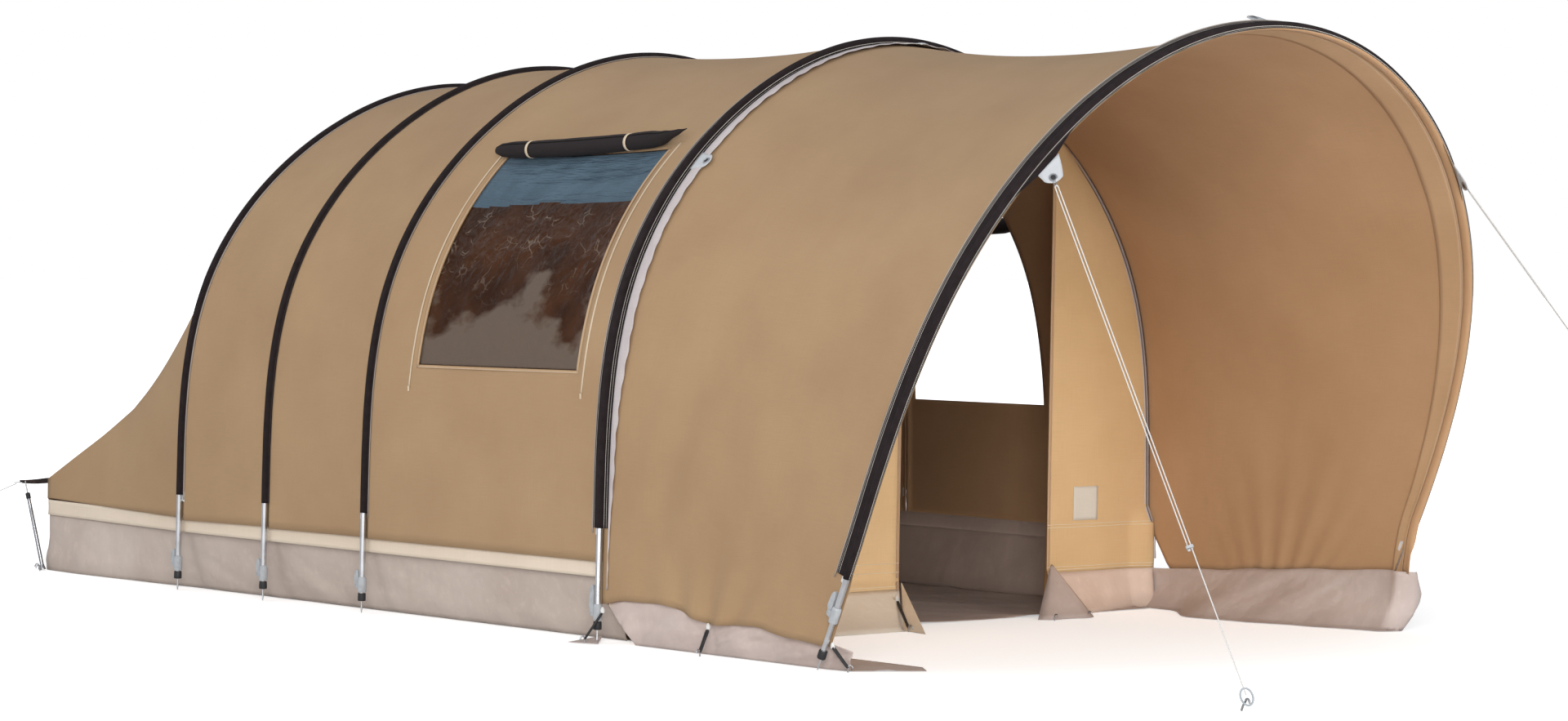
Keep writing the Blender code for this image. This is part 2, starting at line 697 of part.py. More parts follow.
def rope(name, points):
    line = bpy.data.curves.new(name, "CURVE")
    line.dimensions = "3D"
    line.bevel_depth = ROPE_R
    line.bevel_resolution = 2
    line.resolution_u = 1
    line.render_resolution_u = 0
    line.use_fill_caps = True
    spline = line.splines.new("POLY")
    spline.points.add(len(points) - 1)
    for place, point in zip(spline.points, points):
        place.co = (*point, 1.0)
    made = bpy.data.objects.new(name, line)
    bpy.context.scene.collection.objects.link(made)
    line.materials.append(rope_white())
    return made


def front_guy(side, front):
    """One rope: up from the runner to the tab, round, and down through the runner to the peg."""
    edge, along, across, _, peg = guy_line(side, front)
    hook = edge + along * (TAB_LENGTH + 0.012)
    reach = (peg - hook).length
    runner = hook + along * (reach * RUNNER_SHARE)
    half = STRAND_GAP / 2
    turn = [hook + along * (half * (1 - math.sin(a))) + across * (half * math.cos(a))
            for a in (math.radians(d) for d in (0, 36, 72, 108, 144, 180))]
    shares = (0.0, 0.2, 0.4, 0.6, 0.8)
    rising = [(runner + across * half).lerp(turn[0], s) for s in shares]
    falling = [turn[-1].lerp(runner - across * half, s) for s in (0.2, 0.4, 0.6, 0.8, 1.0)]
    last = peg - along * 0.012 - across * half
    single = [(runner - across * half + along * 0.03).lerp(last, s) for s in (0.0, 0.33, 0.66, 1.0)]
    return rope("guy_front_" + side, rising + turn + falling + single)


def runner(side, front):
    """The plate that tightens a guy, with one hole for each strand."""
    edge, along, across, _, peg = guy_line(side, front)
    hook = edge + along * (TAB_LENGTH + 0.012)
    centre = hook + along * ((peg - hook).length * RUNNER_SHARE)
    out = along.cross(across)
    frame = Matrix(((across.x, out.x, along.x, centre.x), (across.y, out.y, along.y, centre.y),
                    (across.z, out.z, along.z, centre.z), (0, 0, 0, 1)))
    outline = [(-0.013, -0.004), (-0.009, -0.007), (0.009, -0.007), (0.013, -0.004), (0.013, 0.004),
               (0.009, 0.007), (-0.009, 0.007), (-0.013, 0.004)]
    rings = [[Vector((a, b, c)) for a, b in outline] for c in (-0.005, 0.005)]
    plate = loft("runner_" + side, rings, grey_plastic(), frame)
    for sign in (-1, 1):
        hole = [[Vector((sign * STRAND_GAP / 2 + a, b, c)) for a, b in circle(ROPE_R + 0.0012)]
                for c in (-0.02, 0.02)]
        cutter = loft("runner_hole_%s_%d" % (side, sign), hole, grey_plastic(), frame)
        cutter.hide_render = True
        cutter.display_type = "WIRE"
        cut = plate.modifiers.new("hole", "BOOLEAN")
        cut.operation = "DIFFERENCE"
        cut.object = cutter
    return plate


def peg(name, top, away):
    """A ground peg: a round stake, hooked over at the top, that leans away from its guy."""
    away = Vector((away.x, away.y, 0.0)).normalized()
    foot = top + away * -0.020
    foot.z = 0.0
    line = [foot + Vector((0, 0, 0.0003)), top + Vector((0.0, 0.0, -0.012)), top + away * 0.006,
            top + away * 0.018 + Vector((0.0, 0.0, -0.003)), top + away * 0.024 + Vector((0.0, 0.0, -0.016))]
    side = Vector((0, 0, 1)).cross(away)
    rings = []
    for k, centre in enumerate(line):
        step = (line[min(k + 1, len(line) - 1)] - line[max(k - 1, 0)]).normalized()
        if k == 0:
            step = Vector((0.0, 0.0, 1.0))
        normal = side.cross(step).normalized()
        rings.append([centre + normal * x + side * y for x, y in circle(0.0042, 6)])
    return loft(name, rings, steel())


def rear_prop(side):
    """The short prop that holds up a rear corner, with its collar and top pin."""
    sign = SIDE_SIGN[side]
    foot = Vector((sign * PROP_FOOT[0], WALL_Y + PROP_FOOT[1], 0.0))
    top = Vector((sign * PROP_TOP[0], WALL_Y + PROP_TOP[1], PROP_HEIGHT))
    z = (top - foot).normalized()
    x = Vector((1.0, 0.0, 0.0))
    x = (x - z * x.dot(z)).normalized()
    y = z.cross(x)
    frame = Matrix(((x.x, y.x, z.x, foot.x), (x.y, y.y, z.y, foot.y), (x.z, y.z, z.z, foot.z), (0, 0, 0, 1)))
    length = (top - foot).length
    profile = ((0.013, 0.004), (0.013, 0.022), (PROP_R, 0.026), (PROP_R, length - 0.055), (0.0105, length - 0.053),
               (0.0105, length - 0.035), (0.003, length - 0.033), (0.003, length))
    rings = [[Vector((a, b, height)) for a, b in circle(radius)] for radius, height in profile]
    return loft("rear_prop_" + side, rings, aluminium(), frame)


def rear_strap(side):
    """The webbing strap from a rear corner of the tent, over its prop, to the guy's ring."""
    sign = SIDE_SIGN[side]
    start = Vector((sign * (REAR_HALF + 0.004), WALL_Y + REAR_FROM_WALL + 0.006, REAR_TOP - 0.014))
    ring = Vector((sign * REAR_RING[0], WALL_Y + REAR_RING[1], REAR_RING[2]))
    along = ring - start
    side_way = Vector((0, 0, 1)).cross(along).normalized()
    rings = []
    for share in (0.0, 0.5, 1.0):
        centre = start + along * share + Vector((0.0, 0.0, -0.003 * math.sin(math.pi * share) + 0.004))
        rings.append([centre + side_way * (0.009 * a) + Vector((0.0, 0.0, 0.001 * b))
                      for a, b in ((-1, -1), (1, -1), (1, 1), (-1, 1))])
    return loft("rear_strap_" + side, rings, band_fabric())


def rear_guy():
    """The rope from the left rear strap's ring down to its peg."""
    ring = Vector((-REAR_RING[0], WALL_Y + REAR_RING[1], REAR_RING[2]))
    end = Vector((REAR_PEG[0], WALL_Y + REAR_PEG[1], PEG_TOP))
    along = (end - ring).normalized()
    first, last = ring + along * 0.012, end - along * 0.012
    return rope("guy_rear", [first.lerp(last, k / 8) for k in range(9)])


def build():
    for old in list(bpy.data.objects):
        bpy.data.objects.remove(old, do_unlink=True)
    hoops = [Hoop(number) for number in range(1, 6)]
    for number, hoop in enumerate(hoops, 1):
        arch_tube(number, hoop)
        sleeve(number, hoop)
        for side in SIDE_SIGN:
            lower_leg(number, side, hoop)
            clamp_lever(number, side, hoop)
    seam = (SEAM_GAP, 0.25, 0.5, 0.75, 1 - SEAM_GAP)
    roof_bay(1, hoops, seam)
    roof_bay(2, hoops, seam)
    window_bay(hoops)
    window_film(hoops)
    canopy(hoops)
    rear_panel(hoops[0])
    groundsheet()
    front_wall_header(hoops[3])
    door_leaf(hoops[3])
    zip_slider(hoops[3])
    for side in SIDE_SIGN:
        blind(side, hoops)
        front_wall(side, hoops[3])
        skirt(side, hoops[4])
        guy_tab(side, hoops[4])
        front_guy(side, hoops[4])
        runner(side, hoops[4])
        _, along, _, _, top = guy_line(side, hoops[4])
        peg("peg_front_" + side, top, along)
        rear_prop(side)
        rear_strap(side)
    rear_guy()
    rear_top = Vector((REAR_PEG[0], WALL_Y + REAR_PEG[1], PEG_TOP))
    peg("peg_rear", rear_top, rear_top - Vector((-REAR_RING[0], WALL_Y + REAR_RING[1], 0.0)))


build()
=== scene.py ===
"""Cotton tunnel tent: its cloth, ropes, fittings, light and camera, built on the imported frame.

Metres, +Z up, ground at z = 0, -Y is the front, left is -X. Hoop 1 is the rearmost, hoop 5 leads the canopy.
"""
import math

import bpy
from mathutils import Matrix, Vector, noise


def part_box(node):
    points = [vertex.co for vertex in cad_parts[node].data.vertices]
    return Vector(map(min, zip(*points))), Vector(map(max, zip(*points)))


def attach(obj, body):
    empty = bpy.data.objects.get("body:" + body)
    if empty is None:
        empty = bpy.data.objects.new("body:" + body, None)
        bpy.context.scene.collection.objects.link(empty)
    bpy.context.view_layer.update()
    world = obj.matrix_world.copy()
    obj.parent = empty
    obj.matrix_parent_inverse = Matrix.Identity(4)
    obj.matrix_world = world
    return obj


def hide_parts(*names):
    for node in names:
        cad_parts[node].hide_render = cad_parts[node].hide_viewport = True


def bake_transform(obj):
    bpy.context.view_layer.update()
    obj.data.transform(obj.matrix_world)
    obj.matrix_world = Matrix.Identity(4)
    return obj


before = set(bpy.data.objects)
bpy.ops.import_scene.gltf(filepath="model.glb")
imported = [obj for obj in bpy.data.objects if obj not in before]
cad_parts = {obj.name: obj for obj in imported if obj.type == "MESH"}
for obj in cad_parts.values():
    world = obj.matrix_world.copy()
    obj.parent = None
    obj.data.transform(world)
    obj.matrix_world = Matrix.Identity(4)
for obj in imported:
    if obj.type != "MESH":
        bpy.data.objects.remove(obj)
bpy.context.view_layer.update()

# Directions, places on the inner side of most cloth, and the sides
UP = Vector((0.0, 0.0, 1.0))
AHEAD = Vector((0.0, -1.0, 0.0))
REARWARD = Vector((0.0, 1.0, 0.0))
IN_TENT = (0.0, 0.0, 0.8)
UNDER_CANOPY = (0.0, -2.0, 0.8)
SIDE_SIGN = {"left": -1.0, "right": 1.0}

# Hoops, as in the part's source. ARC is a hoop's length for one unit of station
HALF_WIDTH = 1.5
WALL_Y = -0.967
HOOP_FROM_WALL = (2.753, 2.143, 1.471, 0.0, -1.226)
HEIGHT_SHARE = (0.931, 0.961, 0.982, 1.0, 1.0)
STRAIGHT_LEG = 0.5
LEG_LEAN = (0.014, 0.014, 0.014, 0.014, -0.015)
MAIN_BENDS = (0.0, 0.99, 0.64, 1.0)
FRONT_BENDS = (0.14, 0.88, 0.95, 1.0)
BEND_STEPS = 64
LEG_STATION = 0.16
FRONT_LEAN = 0.333
FRONT_BOW = 0.074
TUBE_END = (0.085, 0.085, 0.085, 0.085, 0.195)
LEVER_PIVOT = (0.027, 0.026)
ARC = 3.1

# Cloth. Sleeve edges are measured forwards and backwards from the tube's axis, cloth levels inwards from it
THIN = 0.0012
CLOTH_OFF = 0.0165
EDGE_OFF = 0.0050
DIP_REACH = 0.022
DIP_FADE = 0.009
SLEEVE_R = 0.0148
SLEEVE_FRONT = (0.023, 0.023, 0.023, 0.034, 0.0)
SLEEVE_BACK = (0.023, 0.023, 0.023, 0.044, 0.062)
SLEEVE_FROM = (0.40, 0.40, 0.40, 0.43, 0.37)
FRONT_TURN = ((0.84, 137.0), (1.12, 95.0))
ZIP_COVER_WIDTH = 0.052
ZIP_COVER_SHARE = ((0.30, 0.12), (0.70, 0.55), (1.15, 1.0), (2.2, 0.85), (2.4, 0.85))
PIPING = ((-0.0250, 0.0030), (0.0245, 0.0019), (-0.0245, 0.0019), (0.0460, 0.0026), (0.0640, 0.0026))
ROOF_BOTTOM = 0.303
ROOF_SAG = (0.012, 0.014, 0.030)
CANOPY_SAG = 0.075
FLOOR_HALF = 1.37
BAND_HALF = 1.465
BAND_LOW = 0.243
BAND_HIGH = 0.309
TUB_ROUND = 11.0
TUB_LIMIT = 1.476
REAR_Y = WALL_Y + 3.94
REAR_HALF = 1.375
REAR_TOP = 0.40
REAR_SAG = 0.065
REAR_KINK = 0.48
REAR_CORNER = 0.36
REAR_BOW = 0.012
REAR_CORNER_RISE = 0.012

# Front wall, door and windows
DOOR_LEFT = 0.05
DOOR_RIGHT = 0.88
DOOR_TOP = 1.90
DOOR_ROLL = (0.125, 0.070)
DOOR_ROLL_R = ((0.03, 0.060), (0.25, 0.052), (0.60, 0.042), (1.0, 0.047), (1.35, 0.040), (1.64, 0.044),
               (1.74, 0.030))
WALL_BILLOW = 0.015
LEFT_WALL_TOP = 0.985
WALL_INSET = 0.0205
WALL_FORWARD = {"left": 0.28, "right": 0.20}
WALL_KICK_TOP = 0.17
WALL_KICK_POWER = 1.2
WALL_HEM = {"left": 0.135, "right": 0.160}
LEG_CLEAR = 0.036
LEG_FROM_X = 1.36
LEG_TO_Z = 0.42
LEG_FADE = 0.08
WALL_OUTER = ((0.13, 1.470), (0.20, 1.478), (0.37, 1.474))
WALL_RISE = 0.37
DOOR_SWING = 0.25
FLAP_SHORT = 0.14
WALL_STITCHES = {"left": (0.147, 0.200, 0.236), "right": (0.172, 0.184, 0.345, 0.357)}
LEFT_WINDOW = (0.325, 0.640, 0.20, 1.18)
RIGHT_WINDOW = (0.262, 0.540, 0.615, 1.42)
WINDOWS = {"left": LEFT_WINDOW, "right": RIGHT_WINDOW}
# Station from which the window film shows its painted sky reflection
SKY_REFLECTION_FROM = 0.556
BLIND_R = 0.036
BLIND_OVER = (0.075, 0.030)
BLIND_GIRTH = ((0.0, 0.04), (0.05, 0.40), (0.10, 0.80), (0.16, 0.95), (0.5, 1.0), (0.90, 0.95), (0.965, 0.8),
               (1.0, 0.45))
ZIP_BESIDE_WINDOW = 0.045
STRAP_SHARES = (0.27, 0.81)
LABEL_X = (1.022, 1.159)
LABEL_Z = (0.372, 0.511)
ZIP_FROM = 0.355

# Canopy edges, mud flaps and their hooks. Cloth beside the legs keeps within CLOTH_LIMIT of the middle
EDGE_LEFT = ((0.0, 0.145), (0.10, 0.165), (0.26, 0.168), (0.50, 0.115), (0.66, 0.128), (0.85, 0.100),
             (1.0, 0.088))
EDGE_RIGHT = ((0.0, 0.155), (0.30, 0.172), (0.47, 0.192), (0.75, 0.215), (1.0, 0.235))
HOOK_SHARE = 0.50
CORNER_HANG = 0.075
CORNER_FROM = 0.50
CORNER_FADE = 0.27
CORNER_SHARE = 0.30
HEM_FROM = 0.012
HEM_TO = ((0.0, 0.074), (1.5, 0.074), (1.85, 0.050), (2.0, 0.040))
WRAP_R = 0.0159
WRAP_STEPS = 5
SKIRT_X = 1.472
SKIRT_FLAP = 0.33
ON_GROUND = 0.0016
CLOTH_LIMIT = 1.478
FLAP_END = 1.16
FAR_FOOT = ((0.0, 1.415), (0.16, 1.405), (0.40, 1.225), (0.60, 1.260), (0.80, 1.330), (1.0, 1.405))

# Ropes and pegs
ROPE_D = 0.0044
STRAND_GAP = 0.011
ROPE_END = 0.012
GUY_STATION = 0.622
GUY_PEG = {"left": (-1.235, -3.035), "right": (1.55, -3.25)}
RUNNER_SHARE = 0.715
TAB_LENGTH = 0.075
TAB_HALF = 0.055
GUY_EDGE = 0.033
PULL_HALF = 0.055
TAB_TIP = 0.025
HOOK_REACH = 0.012
KNOT_R = 0.0042
PEG_TOP = 0.045
PEG_HEAD = 0.016
SMALL_TAB_HALF = 0.044
SMALL_TAB_LENGTH = 0.078
REAR_RING = (1.495, 3.982, 0.384)
REAR_PEG = (-2.00, 4.56)
PROP_FOOT = (1.420, 3.900)
PROP_TOP = (1.470, 3.965)
PROP_HEIGHT = 0.372

# Camera, fitted to the hoops and the ground
CAMERA_AT = (-12.636, -14.389, 1.6576)
CAMERA_YAW = 0.73187
CAMERA_PITCH = -0.03380
CAMERA_ROLL = 0.01485
CAMERA_LENS = 107.04

# Studio. A lamp has a name, its place, its target, its size, its power and its colour
WHITE = (1.0, 1.0, 1.0)
LAMPS = (
    ("key", (-11.0, -12.0, 4.5), (0.0, -0.5, 0.8), 6.0, 1375.0, (1.0, 0.985, 0.96)),
    ("fill_left", (-13.0, 3.0, 4.5), (0.0, 0.5, 0.8), 6.0, 190.0, WHITE),
    ("above_rear", (-3.5, 2.6, 6.5), (-0.4, 1.4, 1.6), 4.0, 60.0, WHITE),
    ("front", (1.5, -13.0, 3.0), (0.5, -1.0, 1.0), 5.0, 400.0, (1.0, 0.98, 0.95)),
)
SKY = (0.93, 0.95, 1.0, 1.0)
SKY_STRENGTH = 0.52
FLOOR_GREY = (0.86, 0.86, 0.86)
FLOOR_REACH = 60.0
FLOOR_Z = -0.0005


def srgb(red, green, sky_reflected):
    """A colour as seen on a screen, 0 to 255, as linear values."""
    shares = (red / 255, green / 255, sky_reflected / 255)
    return tuple(((c + 0.055) / 1.055) ** 2.4 if c > 0.04 else c / 12.92 for c in shares)


# Small helpers
def spread(first, last, count):
    return [first + (last - first) * k / (count - 1) for k in range(count)]


def even(count):
    """Shares from 0 to 1 at even steps."""
    return spread(0.0, 1.0, count)


def clamp(value, low=0.0, high=1.0):
    return min(high, max(low, value))


def running(gaps):
    """The sums of some gaps, from 0."""
    sums = [0.0]
    for gap in gaps:
        sums.append(sums[-1] + gap)
    return sums


def to_side(side, station):
    """A station of the left half, or the one opposite it on the right half."""
    return station if side == "left" else 2 - station


def bisect(low, high, steps, below):
    """The place in a range up to which below holds."""
    for _ in range(steps):
        middle = (low + high) / 2
        if below(middle):
            low = middle
        else:
            high = middle
    return low


def along_table(table, place):
    """A value read from a short table of (place, value), smoothly."""
    for (a, va), (b, vb) in zip(table, table[1:]):
        if place <= b:
            t = clamp((place - a) / (b - a))
            return va + (vb - va) * t * t * (3 - 2 * t)
    return table[-1][1]


def scaled(colour, factor):
    return tuple(min(1.0, c * factor) for c in colour)


def bump(value, centre, width):
    return math.exp(-((value - centre) / width) ** 2)


def rough(x, y, scale, seed=0.0):
    """Smooth noise from -1 to 1."""
    return noise.noise(Vector((x * scale, y * scale, seed)))


class Hoop:
    """A hoop's centre line, by station: 0 at the left foot, 1 at the crown and 2 at the right foot."""

    def __init__(self, number):
        index = number - 1
        front = number == 5
        bends = FRONT_BENDS if front else MAIN_BENDS
        turn_left = math.pi / 2 - LEG_LEAN[index]
        share = []
        for k in range(BEND_STEPS):
            place = (k + 0.5) / BEND_STEPS * (len(bends) - 1)
            low = min(int(place), len(bends) - 2)
            share.append(bends[low] + (bends[low + 1] - bends[low]) * (place - low))
        across, up, angle = [0.0], [0.0], turn_left
        for bend in share:
            step = bend / sum(share) * turn_left
            across.append(across[-1] + math.cos(angle - step / 2))
            up.append(up[-1] + math.sin(angle - step / 2))
            angle -= step
        knee_x = -HALF_WIDTH + STRAIGHT_LEG * math.sin(LEG_LEAN[index])
        knee_z = STRAIGHT_LEG * math.cos(LEG_LEAN[index])
        scale = -knee_x / across[-1]
        half = [(-HALF_WIDTH, 0.0)] + [(knee_x + a * scale, knee_z + u * scale) for a, u in zip(across, up)]
        half = [(x, z * HEIGHT_SHARE[index]) for x, z in half]
        top = half[-1][1]
        lean = FRONT_LEAN if front else 0.0
        self.body = "front_hoop" if front else "tent"
        self.y = WALL_Y + HOOP_FROM_WALL[index]
        self.rear = Vector((0.0, math.cos(lean), math.sin(lean)))
        rise = Vector((0.0, -math.sin(lean), math.cos(lean)))
        self.points = []
        for x, h in half + [(-x, z) for x, z in half[-2::-1]]:
            bow = FRONT_BOW * 4 * (h / top) * (1 - h / top) if front else 0.0
            self.points.append(Vector((x, self.y, 0.0)) + rise * h - self.rear * bow)
        rising = [0.0] + [LEG_STATION + (1 - LEG_STATION) * k / BEND_STEPS for k in range(BEND_STEPS + 1)]
        self.stations = rising + [2 - s for s in rising[-2::-1]]
        self.leg_length = (self.points[1] - self.points[0]).length
        self.normals = []
        for k in range(len(self.points)):
            before = self.points[max(k - 1, 0)]
            after = self.points[min(k + 1, len(self.points) - 1)]
            self.normals.append(self.rear.cross((after - before).normalized()).normalized() * -1.0)

    def at(self, station):
        """Centre point and outward normal at a station."""
        low, high = 0, len(self.stations) - 2
        while low < high:
            middle = (low + high + 1) // 2
            if self.stations[middle] <= station:
                low = middle
            else:
                high = middle - 1
        share = (station - self.stations[low]) / (self.stations[low + 1] - self.stations[low])
        point = self.points[low].lerp(self.points[low + 1], share)
        inside = clamp(share)
        return point, self.normals[low].lerp(self.normals[low + 1], inside).normalized()

    def up_leg(self, metres):
        return metres / self.leg_length * LEG_STATION

    def leg_frame(self, side):
        """A leg's own frame: origin at its foot, z up the leg, x across the tent and y to the rear."""
        low, high = (self.points[0], self.points[1]) if side == "left" else (self.points[-1], self.points[-2])
        return axes_frame(low, high - low)


def axes_frame(origin, up):
    """A frame at origin with z along up and x as near as can be to the tent's own X."""
    z = up.normalized()
    x = (Vector((1.0, 0.0, 0.0)) - z * z.x).normalized()
    y = z.cross(x)
    return Matrix.Translation(origin) @ Matrix((x, y, z)).transposed().to_4x4()


HOOPS = [Hoop(number) for number in range(1, 6)]


# Materials
class Nodes:
    """A new material with its shader, and short ways to add nodes to it."""

    def __init__(self, name, roughness, metallic=0.0):
        self.look = bpy.data.materials.new(name)
        self.look.use_nodes = True
        self.tree = self.look.node_tree
        self.shader = self.tree.nodes["Principled BSDF"]
        self.shader.inputs["Roughness"].default_value = roughness
        self.shader.inputs["Metallic"].default_value = metallic

    def add(self, kind, **inputs):
        node = self.tree.nodes.new(kind)
        for key, value in inputs.items():
            self.set(node.inputs[key.replace("_", " ")], value)
        return node

    def set(self, socket, value):
        if isinstance(value, bpy.types.NodeSocket):
            self.tree.links.new(value, socket)
        else:
            socket.default_value = value

    def math(self, operation, *values):
        node = self.tree.nodes.new("ShaderNodeMath")
        node.operation = operation
        for socket, value in zip(node.inputs, values):
            self.set(socket, value)
        return node.outputs[0]

    def mix(self, factor, first, second):
        node = self.tree.nodes.new("ShaderNodeMix")
        node.data_type = "RGBA"
        self.set(node.inputs[0], factor)
        for socket, value in zip((node.inputs[6], node.inputs[7]), (first, second)):
            self.set(socket, (*value, 1.0) if isinstance(value, tuple) else value)
        return node.outputs[2]

    def place(self, name="Object"):
        return self.add("ShaderNodeTexCoord").outputs[name]

    def noise(self, scale, detail=3.0, where=None, stretch=None):
        where = where or self.place()
        if stretch:
            mapping = self.add("ShaderNodeMapping", Vector=where)
            mapping.inputs["Scale"].default_value = stretch
            where = mapping.outputs[0]
        return self.add("ShaderNodeTexNoise", Vector=where, Scale=scale, Detail=detail).outputs["Fac"]

    def levels(self, value, low, high, to_low=0.0, to_high=1.0):
        node = self.add("ShaderNodeMapRange")
        for socket, number in zip(node.inputs, (value, low, high, to_low, to_high)):
            self.set(socket, number)
        return node.outputs[0]

    def uv(self):
        """The cloth's own coordinates in metres: along its warp and across it."""
        parts = self.add("ShaderNodeSeparateXYZ", Vector=self.place("UV"))
        return parts.outputs[0], parts.outputs[1]

    def wave(self, value, period):
        return self.math("SINE", self.math("MULTIPLY", value, 2 * math.pi / period))

    def crossed(self, period):
        """Warp and weft threads."""
        u, v = self.uv()
        return self.math("MULTIPLY", self.wave(u, period), self.wave(v, period))

    def mottled(self, scale, detail, low, high, first, second, where=None):
        """Two colours in soft patches."""
        return self.mix(self.levels(self.noise(scale, detail, where), low, high), first, second)

    def stitched(self, base, lines, half, period, gap, colour):
        """The base colour with lines of stitches at some distances across the cloth."""
        u, v = self.uv()
        for line in lines:
            near = self.math("LESS_THAN", self.math("ABSOLUTE", self.math("SUBTRACT", v, line)), half)
            stitch = self.math("MULTIPLY", near, self.math("GREATER_THAN", self.wave(u, period), gap))
            base = self.mix(stitch, base, colour)
        return base

    def relief(self, height, distance, strength=1.0, normal=None):
        node = self.add("ShaderNodeBump", Height=height, Distance=distance, Strength=strength)
        if normal is not None:
            self.tree.links.new(normal, node.inputs["Normal"])
        return node.outputs[0]

    def finish(self, colour, normal=None, roughness=None, sheen=0.0):
        self.set(self.shader.inputs["Base Color"], (*colour, 1.0) if isinstance(colour, tuple) else colour)
        if normal is not None:
            self.tree.links.new(normal, self.shader.inputs["Normal"])
        if roughness is not None:
            self.set(self.shader.inputs["Roughness"], roughness)
        self.shader.inputs["Sheen Weight"].default_value = sheen
        return self.look


def woven(name, colour, shade, crease=0.0022, sheen=0.03, lines=(), line_colour=None):
    """Woven cloth: crossed threads, slubs, soft mottling, faint creases and any lines of stitches."""
    n = Nodes(name, 0.9)
    threads = n.crossed(0.0011)
    slub_u = n.noise(1.0, 2.0, n.place("UV"), (9.0, 420.0, 1.0))
    slub_v = n.noise(1.0, 2.0, n.place("UV"), (420.0, 9.0, 1.0))
    slubs = n.levels(n.math("ADD", slub_u, slub_v), 0.75, 1.3)
    base = n.mottled(2.3, 5.0, 0.3, 0.7, colour, shade)
    base = n.mix(n.math("MULTIPLY", slubs, 0.16), base, scaled(shade, 0.62))
    base = n.mix(n.levels(threads, -1.0, 1.0, 0.0, 0.10), base, scaled(shade, 0.5))
    base = n.stitched(base, lines, 0.0011, 0.0060, -0.35, line_colour)
    normal = n.relief(n.noise(7.0, 4.0), crease)
    return n.finish(base, n.relief(threads, 0.00012, 1.0, normal), None, sheen)


def coated(name, colour, shade, roughness=0.62, crease=0.009):
    """Coated mud wall cloth: a finer weave under a slightly sleek face, scuffed and creased."""
    n = Nodes(name, roughness)
    threads = n.crossed(0.0009)
    scuff = n.levels(n.noise(34.0, 6.0), 0.52, 0.74)
    base = n.mottled(3.0, 5.0, 0.3, 0.7, colour, shade)
    base = n.mix(n.math("MULTIPLY", scuff, 0.22), base, scaled(colour, 1.25))
    # Darker towards the ground: the lowest 7 cm blend towards a darker tone
    height = n.add("ShaderNodeSeparateXYZ", Vector=n.place()).outputs[2]
    base = n.mix(n.levels(height, 0.07, 0.0, 0.0, 0.35), base, scaled(shade, 0.55))
    normal = n.relief(n.noise(9.0, 5.0, None, (1.0, 1.0, 0.45)), crease)
    normal = n.relief(threads, 0.00008, 1.0, normal)
    return n.finish(base, normal, n.levels(scuff, 0.0, 1.0, roughness, roughness + 0.15), 0.05)


def webbing(name, colour, shade, lines=(), line_colour=(0.7, 0.66, 0.6)):
    """Sleeve cloth and webbing: a tight diagonal weave with stitching."""
    n = Nodes(name, 0.78)
    twill = n.wave(n.math("ADD", *n.uv()), 0.0022)
    base = n.mottled(30.0, 4.0, 0.35, 0.7, colour, shade)
    base = n.mix(n.levels(twill, -1.0, 1.0, 0.0, 0.25), base, scaled(shade, 0.5))
    base = n.stitched(base, lines, 0.0010, 0.0065, -0.75, line_colour)
    n.shader.inputs["Specular IOR Level"].default_value = 0.2
    return n.finish(base, n.relief(twill, 0.00025, 1.0, n.relief(n.noise(45.0, 3.0), 0.0012)))


def film(name, colour, shade, pale, roughness, alpha, crumple_and_glint, streaks):
    """Clear soft window film, crumpled in small sharp folds, with painted light: painted shade for the dark
    inside seen through it, painted reflections in broad pale patches and painted highlights along the folds.
    """
    n = Nodes(name, roughness)
    where = n.place("UV")
    warp = n.add("ShaderNodeTexNoise", Vector=where, Scale=5.5, Detail=3.0).outputs["Color"]
    bent = n.add("ShaderNodeMix")
    bent.data_type = "VECTOR"
    bent.inputs[0].default_value = 0.16
    n.set(bent.inputs[4], where)
    n.set(bent.inputs[5], warp)
    cells = n.add("ShaderNodeTexVoronoi", Vector=bent.outputs[1], Scale=19.0)
    cells.feature = "DISTANCE_TO_EDGE"
    facets = n.add("ShaderNodeTexVoronoi", Vector=bent.outputs[1], Scale=26.0)
    broad = n.noise(2.6, 5.0, where, streaks)
    height = n.uv()[0]
    where_crumpled = n.math("MULTIPLY", n.levels(n.noise(3.4, 2.0, where), 0.40, 0.52),
                            n.levels(height, 0.22, 0.45))
    # Painted highlights: bright lines along the crumple cells' edges, where the glints and the crumpled
    # patches allow; crumple_and_glint also sets the folds' depth
    edge_highlights = n.levels(cells.outputs["Distance"], 0.045, 0.010, 0.0, crumple_and_glint)
    glints = n.levels(n.noise(11.0, 2.0, where), 0.50, 0.58)
    painted_fold_highlights = n.math("MULTIPLY", n.math("MULTIPLY", edge_highlights, glints), where_crumpled)
    # Painted reflection: broad pale patches, more of them towards the bottom, in the pale colour
    painted_reflection = n.levels(n.math("SUBTRACT", n.math("MULTIPLY", broad, 1.6), height), 0.50, 0.60)
    # Painted shade: the dark base colours stand for the tent's shaded inside seen through the clear film
    base = n.mottled(5.0, 4.0, 0.38, 0.62, colour, shade, where)
    base = n.mix(n.math("MULTIPLY", painted_reflection, 0.85), base, pale)
    base = n.mix(n.math("MULTIPLY", painted_fold_highlights, 0.85), base, scaled(pale, 1.15))
    normal = n.relief(broad, 0.05)
    uneven = n.levels(where_crumpled, 0.0, 1.0, 0.25, 1.0)
    normal = n.relief(facets.outputs["Distance"], 0.009 * crumple_and_glint, uneven, normal)
    normal = n.relief(n.noise(24.0, 3.0, where, streaks), 0.004, 1.0, normal)
    n.shader.inputs["Alpha"].default_value = alpha
    n.shader.inputs["Specular IOR Level"].default_value = 0.09
    return n.finish(base, normal)


